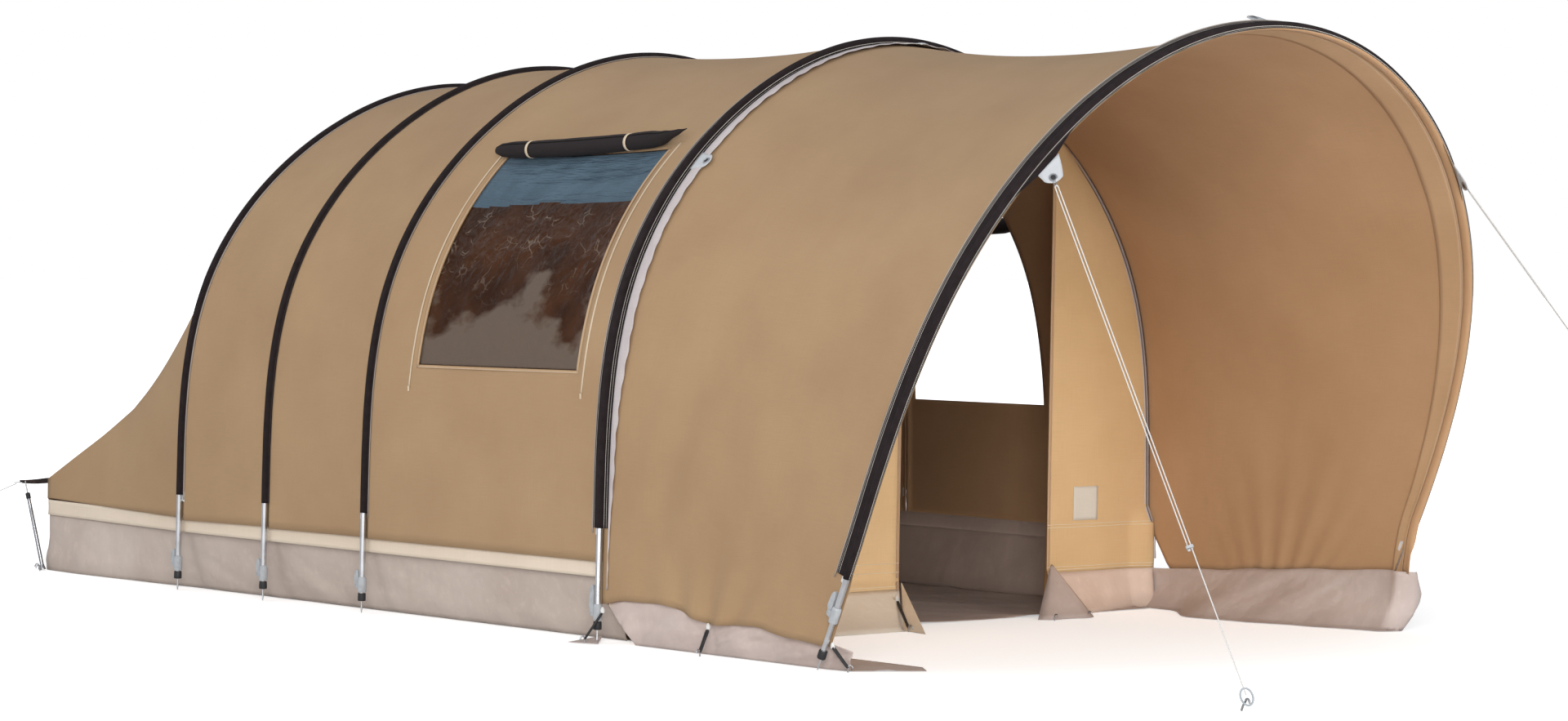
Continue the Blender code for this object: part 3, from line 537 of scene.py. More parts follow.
def metal(name, colour, roughness):
    """Drawn metal with fine scratches along it."""
    n = Nodes(name, roughness, 1.0)
    lines = n.noise(240.0, 4.0, None, (1.0, 1.0, 0.03))
    base = n.mottled(14.0, 4.0, 0.35, 0.7, colour, scaled(colour, 0.78))
    uneven = n.levels(lines, 0.3, 0.7, roughness * 0.8, roughness * 1.35)
    return n.finish(base, n.relief(lines, 0.00006), uneven)


def moulded(name, colour, roughness):
    """Moulded plastic or rubber with a fine grain."""
    n = Nodes(name, roughness)
    base = n.mottled(40.0, 4.0, 0.4, 0.7, colour, scaled(colour, 0.82))
    uneven = n.levels(n.noise(60.0, 3.0), 0.3, 0.7, roughness * 0.85, roughness * 1.15)
    return n.finish(base, n.relief(n.noise(900.0, 2.0), 0.00012), uneven)


def braid(name, colour, shade):
    """Braided cord: two crossing spirals of strands, with painted shade in the grooves between them."""
    n = Nodes(name, 0.8)
    u, v = n.uv()
    turn = n.math("MULTIPLY", v, 0.012)
    one = n.wave(n.math("ADD", u, turn), 0.004)
    two = n.wave(n.math("SUBTRACT", u, turn), 0.004)
    strands = n.math("MAXIMUM", one, two)
    # Painted shade: the grooves between the strands take the darker colour
    base = n.mix(n.levels(strands, 0.2, 1.0), shade, colour)
    return n.finish(base, n.relief(strands, 0.0004), None, 0.2)


CANVAS_TAN = srgb(178, 147, 110)
CANVAS_DEEP = srgb(168, 136, 101)
# Painted light: the canvas's inner face is warmer and lighter than its outer face, standing in for light
# coming through the cloth
INSIDE_LIT_THROUGH = srgb(198, 158, 119)
INSIDE_DEEP_LIT_THROUGH = srgb(187, 147, 108)
CREAM = srgb(238, 222, 202)
MUD = srgb(204, 190, 179)
MUD_DEEP = srgb(188, 172, 161)
BAND = srgb(42, 33, 35)
BAND_DEEP = srgb(31, 23, 24)
THREAD = srgb(214, 200, 182)

LOOKS = {
    "canvas": woven("canvas_cotton", CANVAS_TAN, CANVAS_DEEP),
    # The canvas's inner face, with its painted light
    "lining": woven("canvas_inside_lit_through", INSIDE_LIT_THROUGH, INSIDE_DEEP_LIT_THROUGH),
    # Painted light: the near (left) wall and the header get a lighter copy of the wall cloth than the far
    # (right) wall, standing in for front light on the near side
    "wall": woven("wall_cotton", srgb(247, 214, 166), srgb(238, 202, 150)),
    "wall_far": woven("wall_cotton_far", srgb(232, 197, 149), srgb(220, 184, 134)),
    # Painted light: the wall's inner face is a warmer, darker copy of its cloth, standing in for light coming
    # through it
    "wall_in": woven("wall_inside", srgb(200, 156, 108), srgb(184, 140, 94)),
    "frame_tape": woven("frame_tape", srgb(196, 164, 126), srgb(184, 150, 112), 0.001, lines=(0.0035,),
                        line_colour=THREAD),
    "hem": woven("hem_cotton", srgb(207, 170, 131), srgb(194, 156, 117), 0.004, lines=(0.002, 0.013),
                 line_colour=THREAD),
    "cream": woven("cream_tape", CREAM, srgb(228, 211, 190), crease=0.003, lines=(0.004, 0.058),
                   line_colour=srgb(235, 222, 200)),
    "mud": coated("mud_wall", MUD, MUD_DEEP),
    "skirt": coated("mud_flap", srgb(202, 187, 180), srgb(186, 168, 160), 0.55, 0.010),
    "floor": coated("groundsheet", srgb(192, 172, 160), srgb(172, 152, 141), 0.5, 0.010),
    "narrow_band": webbing("narrow_sleeve", BAND, BAND_DEEP, (-0.0285, 0.0285), srgb(92, 80, 76)),
    "wide_band": webbing("wide_sleeve", BAND, BAND_DEEP, (-0.0395, -0.0295, 0.0485)),
    "front_band": webbing("front_sleeve", BAND, BAND_DEEP, (-0.0290, -0.0215, 0.0585, 0.0665)),
    "strap": webbing("dark_webbing", srgb(62, 52, 50), srgb(44, 36, 36)),
    "blind": woven("blind_cloth", srgb(29, 18, 19), srgb(20, 12, 13), crease=0.003, sheen=0.0),
    "piping": woven("piping", srgb(178, 168, 158), srgb(150, 140, 132), crease=0.0003),
    "zip_tape": woven("zip_tape", srgb(208, 200, 200), srgb(190, 180, 180), crease=0.004),
    "zip_teeth": moulded("zip_teeth", srgb(110, 98, 90), 0.5),
    "cream_zip": woven("cream_zip", srgb(226, 208, 182), srgb(206, 186, 158), crease=0.001),
    "tab": woven("tab_cloth", srgb(204, 208, 211), srgb(184, 188, 192), crease=0.001),
    "label": woven("label_cloth", srgb(232, 226, 214), srgb(220, 212, 198), crease=0.0005),
    # The clear film's dark colours are painted shade of the inside behind it; its pale colour is painted
    # reflection and painted highlight
    "film": film("window_film_clear", srgb(70, 43, 27), srgb(50, 29, 17), srgb(108, 95, 84),
                 0.15, 0.97, 1.0, (1.2, 0.8, 1.0)),
    # The film's upper part: a painted sky reflection, blue with lighter painted streaks
    "film_blue": film("window_film_sky_reflection", srgb(84, 103, 117), srgb(74, 92, 105), srgb(120, 139, 152),
                      0.34, 0.98, 0.05, (4.0, 0.7, 1.0)),
    "tube": metal("drawn_tube", srgb(214, 216, 220), 0.30),
    "steel": metal("zinc_steel", srgb(178, 180, 184), 0.34),
    "grey": moulded("grey_plastic", srgb(172, 176, 180), 0.5),
    "pale_plastic": moulded("pale_plastic", srgb(222, 222, 220), 0.45),
    "rubber": moulded("black_rubber", srgb(34, 34, 36), 0.6),
    # The rope's darker colour is painted shade between its strands
    "rope": braid("white_braid", srgb(240, 238, 234), srgb(188, 187, 186)),
    "ring": moulded("ring_plastic", srgb(164, 172, 178), 0.42),
    # Painted light: the near (left) flap's cloth is a lighter copy of the far flap's, standing in for light
    # on the near side
    "pale_mud": coated("pale_flap", srgb(250, 240, 224), srgb(238, 226, 208)),
    "pale_far": coated("pale_flap_far", srgb(228, 206, 190), srgb(212, 188, 172)),
    "thread": woven("white_thread", srgb(252, 240, 216), srgb(240, 226, 200), crease=0.0002),
    "prop": metal("prop_tube", srgb(158, 160, 164), 0.24),
}


# Mesh helpers
def new_mesh(name, points, faces, looks, body, uvs=None, face_looks=None, sharp=None, bent=False):
    """A piece from its points and faces. uvs are per point; face_looks picks a look for each face. A bent
    piece rides no body."""
    mesh = bpy.data.meshes.new(name)
    mesh.from_pydata([tuple(p) for p in points], [], faces)
    names = (looks,) if isinstance(looks, str) else looks
    for look in names:
        mesh.materials.append(LOOKS[look])
    if uvs:
        layer = mesh.uv_layers.new(name="UVMap")
        for loop in mesh.loops:
            layer.data[loop.index].uv = uvs[loop.vertex_index]
    if face_looks:
        for polygon, look in zip(mesh.polygons, face_looks):
            polygon.material_index = look
    mesh.shade_smooth()
    if sharp:
        mesh.set_sharp_from_angle(angle=math.radians(sharp))
    piece = bpy.data.objects.new(name, mesh)
    bpy.context.scene.collection.objects.link(piece)
    if not bent:
        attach(piece, body)
    return piece


def thicken(piece, thickness, lining):
    """Give cloth its thickness behind its outer face. lining is the step from its looks to its lining's."""
    solid = piece.modifiers.new("thickness", "SOLIDIFY")
    solid.thickness = thickness
    solid.offset = -1.0
    solid.use_even_offset = False
    if lining:
        solid.material_offset = lining
        solid.material_offset_rim = 0


def cloth(name, rows, look, lining=None, body="tent", thickness=THIN, inside=None, keep=None, pick=None,
          bent=False, across=None):
    """A cloth piece through rows of points on its outer face; its thickness lies on the side of inside."""
    count = len(rows[0])
    points = [p for row in rows for p in row]
    middle, centre = rows[len(rows) // 2], count // 2
    across = across or running((b - a).length for a, b in zip(middle, middle[1:]))
    along = running((b[centre] - a[centre]).length for a, b in zip(rows, rows[1:]))
    uvs = [(u, v) for u in along for v in across]
    for i in range(len(rows) // 2, len(rows) - 1):
        first, second, third = rows[i][centre - 1], rows[i + 1][centre - 1], rows[i][centre]
        if (second - first).cross(third - first).length > 1e-9:
            break
    facing = (second - first).cross(third - first).dot(first - Vector(inside or (0.0, first.y, 0.8))) > 0
    faces, marks = [], []
    for i in range(len(rows) - 1):
        for j in range(count - 1):
            if keep and not keep(i, j):
                continue
            a = i * count + j
            ring = (a, a + count, a + count + 1, a + 1)
            faces.append(ring if facing else ring[::-1])
            marks.append(pick(i, j) if pick else 0)
    looks = [look] if isinstance(look, str) else list(look)
    linings = [lining] if lining else []
    piece = new_mesh(name, points, faces, looks + linings, body, uvs, marks, bent=bent)
    thicken(piece, thickness, len(looks) if lining else 0)
    return piece


def tube_faces(rings, count, capped=True):
    """The faces between rings of count points, and one over either end."""
    faces = []
    for k in range(rings - 1):
        for j in range(count):
            n = (j + 1) % count
            faces.append((k * count + j, k * count + n, (k + 1) * count + n, (k + 1) * count + j))
    if capped:
        last = (rings - 1) * count
        faces.append(tuple(range(count - 1, -1, -1)))
        faces.append(tuple(range(last, last + count)))
    return faces


def swept(name, path, outline, look, body="tent", ups=None, capped=True, bent=False):
    """A closed outline carried along a path. ups gives the outline's second direction at each point."""
    points, uvs = [], []
    length = 0.0
    girth = running(math.dist(a, b) for a, b in zip(outline, outline[1:]))
    for k, place in enumerate(path):
        before, after = path[max(k - 1, 0)], path[min(k + 1, len(path) - 1)]
        ahead = (after - before).normalized()
        up = ups[k] if ups else UP
        if abs(up.dot(ahead)) > 0.999:
            up = Vector((1.0, 0.0, 0.0))
        side = ahead.cross(up).normalized()
        top = side.cross(ahead).normalized()
        length += (place - before).length
        for (a, b), g in zip(outline, girth):
            points.append(place + side * a + top * b)
            uvs.append((length, g))
    return new_mesh(name, points, tube_faces(len(path), len(outline), capped), look, body, uvs, bent=bent)


def ring(radius, sides=10):
    angles = [2 * math.pi * k / sides for k in range(sides)]
    return [(radius * math.cos(a), radius * math.sin(a)) for a in angles]


def oblong(half_a, half_b):
    return [(-half_a, -half_b), (half_a, -half_b), (half_a, half_b), (-half_a, half_b)]


def turned(name, profile, look, body, matrix, sides=20):
    """A round piece from (radius, height) pairs, closed at both ends, placed by its matrix."""
    points = []
    for radius, height in profile:
        points += [matrix @ Vector((a, b, height)) for a, b in ring(max(radius, 0.0002), sides)]
    return new_mesh(name, points, tube_faces(len(profile), sides), look, body, sharp=40)


def block(name, outline, low, high, look, body, matrix, bevel=0.0012):
    """A plate with rounded edges: an outline in y and z, from low to high across x."""
    points = [matrix @ Vector((x, y, z)) for x in (low, high) for y, z in outline]
    piece = new_mesh(name, points, tube_faces(2, len(outline)), look, body, sharp=35)
    if bevel:
        round_edge = piece.modifiers.new("edges", "BEVEL")
        round_edge.width = bevel
        round_edge.segments = 2
    return piece


def smooth_line(points, steps=6):
    """A smooth curve through the points."""
    line = []
    for k in range(len(points) - 1):
        p0, p1 = points[max(k - 1, 0)], points[k]
        p2, p3 = points[k + 1], points[min(k + 2, len(points) - 1)]
        for s in range(steps):
            t = s / steps
            line.append(0.5 * ((2 * p1) + (p2 - p0) * t + (2 * p0 - 5 * p1 + 4 * p2 - p3) * t * t
                               + (3 * p1 - p0 - 3 * p2 + p3) * t ** 3))
    return line + [points[-1]]


# Camera and light
def make_camera():
    flat = math.cos(CAMERA_PITCH)
    forward = Vector((math.sin(CAMERA_YAW) * flat, math.cos(CAMERA_YAW) * flat, math.sin(CAMERA_PITCH)))
    level = Vector((math.cos(CAMERA_YAW), -math.sin(CAMERA_YAW), 0.0))
    above = level.cross(forward)
    right = level * math.cos(CAMERA_ROLL) + above * math.sin(CAMERA_ROLL)
    up = above * math.cos(CAMERA_ROLL) - level * math.sin(CAMERA_ROLL)
    data = bpy.data.cameras.new("camera")
    data.lens = CAMERA_LENS
    data.sensor_width = 36.0
    data.clip_end = 200.0
    camera = bpy.data.objects.new("camera", data)
    camera.matrix_world = Matrix((right, up, -forward)).transposed().to_4x4()
    camera.location = CAMERA_AT
    bpy.context.scene.collection.objects.link(camera)
    bpy.context.scene.camera = camera


def area_light(name, place, target, size, power, colour):
    data = bpy.data.lights.new(name, "AREA")
    data.shape = "SQUARE"
    data.size = size
    data.energy = power
    data.color = colour
    lamp = bpy.data.objects.new(name, data)
    lamp.location = place
    lamp.rotation_euler = (Vector(target) - Vector(place)).to_track_quat("-Z", "Y").to_euler()
    bpy.context.scene.collection.objects.link(lamp)


def make_studio():
    world = bpy.data.worlds.new("studio")
    bpy.context.scene.world = world
    world.use_nodes = True
    tree = world.node_tree
    sky = tree.nodes["Background"]
    sky.inputs["Color"].default_value = SKY
    sky.inputs["Strength"].default_value = SKY_STRENGTH
    seen = tree.nodes.new("ShaderNodeBackground")
    seen.inputs["Color"].default_value = (*WHITE, 1.0)
    seen.inputs["Strength"].default_value = 1.0
    path = tree.nodes.new("ShaderNodeLightPath")
    either = tree.nodes.new("ShaderNodeMath")
    either.operation = "MAXIMUM"
    tree.links.new(path.outputs["Is Camera Ray"], either.inputs[0])
    tree.links.new(path.outputs["Is Transmission Ray"], either.inputs[1])
    mix = tree.nodes.new("ShaderNodeMixShader")
    tree.links.new(either.outputs[0], mix.inputs[0])
    tree.links.new(sky.outputs[0], mix.inputs[1])
    tree.links.new(seen.outputs[0], mix.inputs[2])
    tree.links.new(mix.outputs[0], tree.nodes["World Output"].inputs[0])
    for lamp in LAMPS:
        area_light(*lamp)


def make_floor():
    """The white studio floor. Away from the tent it only shows as bright as the backdrop."""
    n = Nodes("studio_floor", 0.95)
    n.finish(FLOOR_GREY)
    tree = n.tree
    length = tree.nodes.new("ShaderNodeVectorMath")
    length.operation = "LENGTH"
    tree.links.new(n.place(), length.inputs[0])
    far = n.levels(length.outputs["Value"], 2.6, 6.5, 0.45, 1.0)
    camera_ray = n.add("ShaderNodeLightPath").outputs["Is Camera Ray"]
    bright = tree.nodes.new("ShaderNodeEmission")
    tree.links.new(n.math("MULTIPLY", far, camera_ray), bright.inputs["Strength"])
    total = tree.nodes.new("ShaderNodeAddShader")
    tree.links.new(n.shader.outputs[0], total.inputs[0])
    tree.links.new(bright.outputs[0], total.inputs[1])
    tree.links.new(total.outputs[0], tree.nodes["Material Output"].inputs[0])
    corners = [(x, y, FLOOR_Z) for x, y in oblong(FLOOR_REACH, FLOOR_REACH)]
    mesh = bpy.data.meshes.new("studio_floor")
    mesh.from_pydata(corners, [], [(0, 1, 2, 3)])
    mesh.materials.append(n.look)
    floor = bpy.data.objects.new("studio_floor", mesh)
    bpy.context.scene.collection.objects.link(floor)


# Ropes
def behind_wall(x, distance, z):
    return Vector((x, WALL_Y + distance, z))


def guy_line(side):
    """A front guy's start on its sleeve, its direction, the way across it and along the hoop, and its peg."""
    front = HOOPS[4]
    point, normal = front.at(to_side(side, GUY_STATION))
    edge = point - front.rear * (GUY_EDGE + 0.004) - normal * (CLOTH_OFF - 0.008)
    peg = behind_wall(*GUY_PEG[side], PEG_TOP)
    low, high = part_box("runner_" + side)
    along = (peg - (Vector(low) + Vector(high)) / 2).normalized()
    edge = peg - along * (peg - edge).length
    tangent = normal.cross(front.rear).normalized()
    across = (tangent - along * tangent.dot(along)).normalized()
    return edge, along, across, tangent, peg


def runner_place(edge, along, peg):
    """The rope's turn in the tab's hook, and the middle of the runner."""
    hook = edge + along * (TAB_LENGTH + HOOK_REACH)
    return hook, hook + along * ((peg - hook).length * RUNNER_SHARE)


def rope_tube(name, path, bent=False):
    return swept(name, path, ring(ROPE_D / 2), "rope", ups=[Vector((1.0, 0.2, 0.0))] * len(path), bent=bent)


def front_guy(side):
    """The guy, one rope from the runner up through the tab's hook and down through the runner to the peg."""
    edge, along, across, _, peg = guy_line(side)
    hook, runner = runner_place(edge, along, peg)
    half = STRAND_GAP / 2
    turn = [hook + along * (half * (1 - math.sin(a))) + across * (half * math.cos(a))
            for a in (math.radians(d) for d in range(0, 181, 15))]
    start, end = runner + across * half, runner - across * half
    rising = [start.lerp(turn[0], s) for s in spread(0.0, 0.95, 20)]
    falling = [turn[-1].lerp(end, s) for s in spread(0.05, 1.0, 20)]
    last = peg - along * ROPE_END - across * half
    single = [(end + along * 0.03).lerp(last, s) for s in even(8)]
    path = rising + turn + falling + single
    rope = rope_tube("guy_rope_" + side, path, bent=True)
    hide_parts("guy_front_" + side)
    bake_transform(rope)


def rear_guy():
    ring_at = behind_wall(-REAR_RING[0], REAR_RING[1], REAR_RING[2])
    end = behind_wall(*REAR_PEG, PEG_TOP)
    along = (end - ring_at).normalized()
    first, last = ring_at + along * ROPE_END, end - along * ROPE_END
    path = [first.lerp(last, s) for s in even(16)]
    rope = rope_tube("rear_guy_rope", path)
    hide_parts("guy_rear")


# Roof cloth
def roof_level(distance, level=EDGE_OFF):
    """How far inside a hoop's line the cloth lies at a distance from it: it dips in under the tube itself."""
    dip = clamp((DIP_REACH - distance) / DIP_FADE)
    return level + (CLOTH_OFF - level) * dip * dip * (3 - 2 * dip)


def roof_point(back, front, station, share, sag, out=0.0, levels=(EDGE_OFF, EDGE_OFF)):
    """A point of the roof between two hoops: share 0 is on the front one, 1 on the rear one."""
    a, na = front.at(station)
    b, nb = back.at(station)
    normal = na.lerp(nb, share).normalized()
    crown = math.sin(math.pi * station / 2)
    droop = sag * 4 * share * (1 - share) * crown
    inside = clamp(share)
    span = (b - a).length
    level = roof_level(inside * span, levels[0]) * (1 - inside)
    level += roof_level((1 - inside) * span, levels[1]) * inside
    return a.lerp(b, share) - normal * (level + droop - out)


def roof_shares(span, count, extra=()):
    """Shares across a bay, close together beside the hoops where the cloth dips."""
    near = [d / span for d in (0.0008, 0.008, 0.013, 0.0175, 0.022, 0.035)]
    middle = spread(near[-1] + 0.04 / span, 1 - near[-1] - 0.04 / span, count)
    kept = [u for u in middle if all(abs(u - e) > 0.010 for e in extra)]
    return sorted(near + kept + list(extra) + [1 - u for u in near])


def seam_pucker(distance, along, seed):
    """Small gathers that run out from a sewn edge."""
    return math.exp(-distance / 0.05) * 0.0016 * rough(along, distance * 0.3, 26.0, seed)


def roof_rows(back, front, stations, shares, sag, seed):
    span = (back.at(1.0)[0] - front.at(1.0)[0]).length
    rows = []
    for s in stations:
        metres = s * ARC
        row = []
        for u in shares:
            free = 4 * u * (1 - u)
            out = seam_pucker(min(u, 1 - u) * span, metres, seed)
            out += 0.004 * free * rough(metres, u * span, 2.2, seed + 3)
            limit = 0.012 if free > 0.2 else 0.0005
            row.append(roof_point(back, front, s, u, sag, clamp(out, -limit, limit)))
        rows.append(row)
    return rows


def roof_bay(number):
    back, front = HOOPS[number - 1], HOOPS[number]
    low = front.up_leg(ROOF_BOTTOM)
    width = HOOP_FROM_WALL[number - 1] - HOOP_FROM_WALL[number]
    stations, shares = spread(low, 2 - low, 150), roof_shares(width, 12)
    rows = roof_rows(back, front, stations, shares, ROOF_SAG[number - 1], number)
    piece = cloth("roof_cloth_%d" % number, rows, "canvas", "lining")
    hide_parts("roof_bay_%d" % number)


def share_of(distance):
    return distance / HOOP_FROM_WALL[2]


def window_bay():
    """The roof cloth between hoops 3 and 4, with both window openings."""
    back, front = HOOPS[2], HOOPS[3]
    low = front.up_leg(ROOF_BOTTOM)
    left, right = LEFT_WINDOW, RIGHT_WINDOW
    edges = [left[0], left[1], 2 - right[1], 2 - right[0]]
    stations = [s for s in spread(low, 2 - low, 150) if min(abs(s - e) for e in edges) > 0.005] + edges
    stations.sort()
    cuts = [share_of(d) for d in (left[2], left[3], right[2], right[3])]
    shares = roof_shares(HOOP_FROM_WALL[2], 32, cuts)

    def keep(i, j):
        s, u = (stations[i] + stations[i + 1]) / 2, (shares[j] + shares[j + 1]) / 2
        in_left = left[0] < s < left[1] and cuts[0] < u < cuts[1]
        in_right = 2 - right[1] < s < 2 - right[0] and cuts[2] < u < cuts[3]
        return not (in_left or in_right)

    rows = roof_rows(back, front, stations, shares, ROOF_SAG[2], 3.0)
    piece = cloth("roof_cloth_3", rows, "canvas", "lining", keep=keep)
    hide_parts("roof_bay_3")


def on_roof(station, distance, out=0.0):
    """A point on the window bay, by station and distance behind the front wall."""
    return roof_point(HOOPS[2], HOOPS[3], station, share_of(distance), ROOF_SAG[2], out)


def strip_on_roof(name, line, width, look, out=0.002):
    """A tape laid on the roof along a line of (station, distance)."""
    rows = []
    for k, (s, d) in enumerate(line):
        before, after = line[max(k - 1, 0)], line[min(k + 1, len(line) - 1)]
        ahead = (on_roof(*after) - on_roof(*before)).normalized()
        up = HOOPS[3].at(s)[1]
        side = ahead.cross(up).normalized()
        centre = on_roof(s, d, out)
        rows.append([centre + side * (width * t) for t in (-0.5, 0.0, 0.5)])
        rows[-1][1] = rows[-1][1] + up * 0.0006
    cloth(name, rows, look, thickness=0.0015)


def windows():
    """Film, its frame and the zips beside it on the left; the bare frame on the right."""
    low, high, first, last = LEFT_WINDOW
    stations = spread(low + 0.001, high - 0.001, 110)
    places = spread(first + 0.0015, last - 0.0015, 60)
    rows = []
    for s in stations:
        row = []
        for d in places:
            edge = min(s - low, high - s) * ARC
            free = min(1.0, edge / 0.05, (d - first) / 0.05, (last - d) / 0.05)
            wave = 0.006 * rough(s * ARC, d * 0.7, 5.0, 8.0) + 0.003 * rough(s * ARC + d, d, 13.0, 2.0)
            row.append(on_roof(s, d, -0.0012 + free * (wave - 0.004)))
        rows.append(row)

    # The upper part of the pane takes the painted sky reflection
    def sky_reflected(i, j):
        return int(stations[i] + 0.008 * places[j] + 0.003 * math.sin(places[j] * 6) > SKY_REFLECTION_FROM)

    pane = cloth("window_pane", rows, ("film", "film_blue"), thickness=0.0006, pick=sky_reflected)
    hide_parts("window_film")
    for side, (low, high, first, last) in WINDOWS.items():
        upright = [to_side(side, s) for s in spread(low - 0.003, high, 40)]
        foot = to_side(side, low - 0.002)
        for name, line in (("front", [(s, first - 0.006) for s in upright]),
                           ("rear", [(s, last + 0.006) for s in upright]),
                           ("foot", [(foot, d) for d in spread(first - 0.012, last + 0.012, 30)])):
            strip_on_roof("window_hem_%s_%s" % (side, name), line, 0.012, "frame_tape")
        for name, place in (("front", first - ZIP_BESIDE_WINDOW), ("rear", last + ZIP_BESIDE_WINDOW)):
            line = [(to_side(side, s), place) for s in spread(low - 0.028, high + 0.01, 50)]
            strip_on_roof("window_zip_%s_%s" % (side, name), line, 0.009, "cream_zip", 0.0026)
            end = axes_frame(on_roof(*line[0], 0.004), UP)
            tip = "window_zip_end_%s_%s" % (side, name)
            outline = [(-0.004, -0.02), (0.004, -0.02), (0.005, 0.0), (-0.005, 0.0)]
            block(tip, outline, -0.0015, 0.0015, "cream_zip", "tent", end, 0.0)


def blinds():
    """The rolled up blinds with their straps: each rises a little to the front and ends there in a point."""
    turns = 44
    for side, (_, window_top, window_front, window_rear) in WINDOWS.items():
        top = window_top + (0.006 if side == "left" else -0.022)
        first, last = window_front - BLIND_OVER[0], window_rear + BLIND_OVER[1]
        _, normal = HOOPS[3].at(to_side(side, top))
        down = REARWARD.cross(normal)

        def roll_centre(share):
            station = top + 0.0130 * (1 - share) - 0.0115 + 0.014 * max(0.0, 1 - share / 0.10)
            return on_roof(to_side(side, station), first + (last - first) * share, BLIND_R + 0.003)

        rows = []
        for share in even(60):
            centre = roll_centre(share)
            size = along_table(BLIND_GIRTH, share)
            pinch = 1.0 - 0.10 * (bump(share, STRAP_SHARES[0], 0.012) + bump(share, STRAP_SHARES[1], 0.012))
            row = []
            for k in range(turns + 1):
                angle = 2 * math.pi * k / turns
                radius = BLIND_R * size * pinch * (1.0 - 0.10 * k / turns)
                radius *= 1 + 0.035 * rough(share * 5.0, math.cos(angle), 2.5, 5.0 + math.sin(angle))
                spot = centre + normal * (radius * math.cos(angle))
                row.append(spot + down * (radius * math.sin(angle) * 1.05))
            rows.append(row)
        middle = rows[30][0].lerp(rows[30][turns // 2], 0.5)
        roll = cloth("blind_roll_" + side, rows, "blind", inside=middle, thickness=0.002)
        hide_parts("blind_" + side)
        for number, share in enumerate(STRAP_SHARES):
            centre = roll_centre(share)
            radius = BLIND_R * 0.90 + 0.0022
            rows = []
            for k in range(29):
                angle = math.radians(-62 + 304 * k / 28)
                spot = centre + normal * (radius * math.sin(angle)) + down * (radius * math.cos(angle) * 1.05)
                rows.append([spot + Vector((0.0, t, 0.0)) for t in (-0.007, 0.007)])
            name = "blind_strap_%s_%d" % (side, number + 1)
            cloth(name, rows, "cream_zip", inside=centre, thickness=0.0012)


# Sleeves and the trim beside them
def dome(start, end, steps=12):
    """The sleeve's cloth over the tube, by the angle from its top towards the rear."""
    angles = [math.radians(start + (end - start) * k / steps) for k in range(steps + 1)]
    return [(SLEEVE_R * math.sin(a), SLEEVE_R * math.cos(a)) for a in angles]


def front_turn(station):
    """How far, in degrees from its outer side, the front hoop's sleeve reaches round the tube's front."""
    return along_table(FRONT_TURN, station)


def sleeve_section(number, station=1.0):
    """A sleeve's section from front to rear: distance behind the tube's axis and distance outside it."""
    front, back = SLEEVE_FRONT[number - 1], SLEEVE_BACK[number - 1]
    edge = 0.0014 - EDGE_OFF
    rear_part = [(SLEEVE_R + 0.0015, edge + 0.0015), (SLEEVE_R + 0.005, edge + 0.0003),
                 (0.75 * back, edge + 0.0006), (back, edge)]
    if number == 5:
        return dome(-front_turn(station), -88, 5)[:-1] + dome(-88, 92) + rear_part
    if number == 4:
        low = 0.0034 - CLOTH_OFF
        front_part = [(-front, low), (-0.8 * front, low + 0.0005), (-SLEEVE_R - 0.004, low + 0.0004),
                      (-SLEEVE_R - 0.0008, low + 0.0035)]
        return front_part + dome(-96, 92) + rear_part
    return [(-b, n) for b, n in reversed(rear_part)] + dome(-92, 92) + rear_part


def across_section(section):
    """Distances along a section, from the line over the tube's top."""
    made = running(math.dist(a, b) for a, b in zip(section, section[1:]))
    top = max(range(len(section)), key=lambda k: section[k][1])
    return [d - made[top] for d in made]


def sleeve(number):
    """A sleeve: cloth drawn over the tube and sewn down beside it."""
    hoop = HOOPS[number - 1]
    start = hoop.up_leg(SLEEVE_FROM[number - 1])
    rows = []
    for s in spread(start, 2 - start, 260):
        point, normal = hoop.at(s)
        metres = s * ARC
        row = []
        for b, n in sleeve_section(number, s):
            loose = 0.0005 * rough(metres, b * 20, 30.0, number + 4) if n < 0 else 0.0
            full = 1 + 0.03 * rough(metres, b * 12, 9.0, number)
            row.append(point + hoop.rear * (b * full) + normal * (n * full + abs(loose)))
        rows.append(row)
    look = {4: "wide_band", 5: "front_band"}.get(number, "narrow_band")
    across = across_section(sleeve_section(number, 0.5))
    piece = cloth("sleeve_cloth_%d" % number, rows, look, body=hoop.body, thickness=0.0009,
                  inside=tuple(hoop.at(1.0)[0] * 0.5), across=across)
    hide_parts("sleeve_%d" % number)


def piping(number, offset, radius):
    """A thin corded edge along a sleeve, offset to the rear of the tube (or to the front if negative)."""
    hoop = HOOPS[number - 1]
    begin = hoop.up_leg(SLEEVE_FROM[number - 1] - 0.02)
    path, ups = [], []
    for s in spread(begin, 2 - begin, 220):
        point, normal = hoop.at(s)
        path.append(point + hoop.rear * offset + normal * (0.0018 - EDGE_OFF))
        ups.append(normal)
    swept("piping_%d" % number, path, ring(radius, 6), "piping", hoop.body, ups)


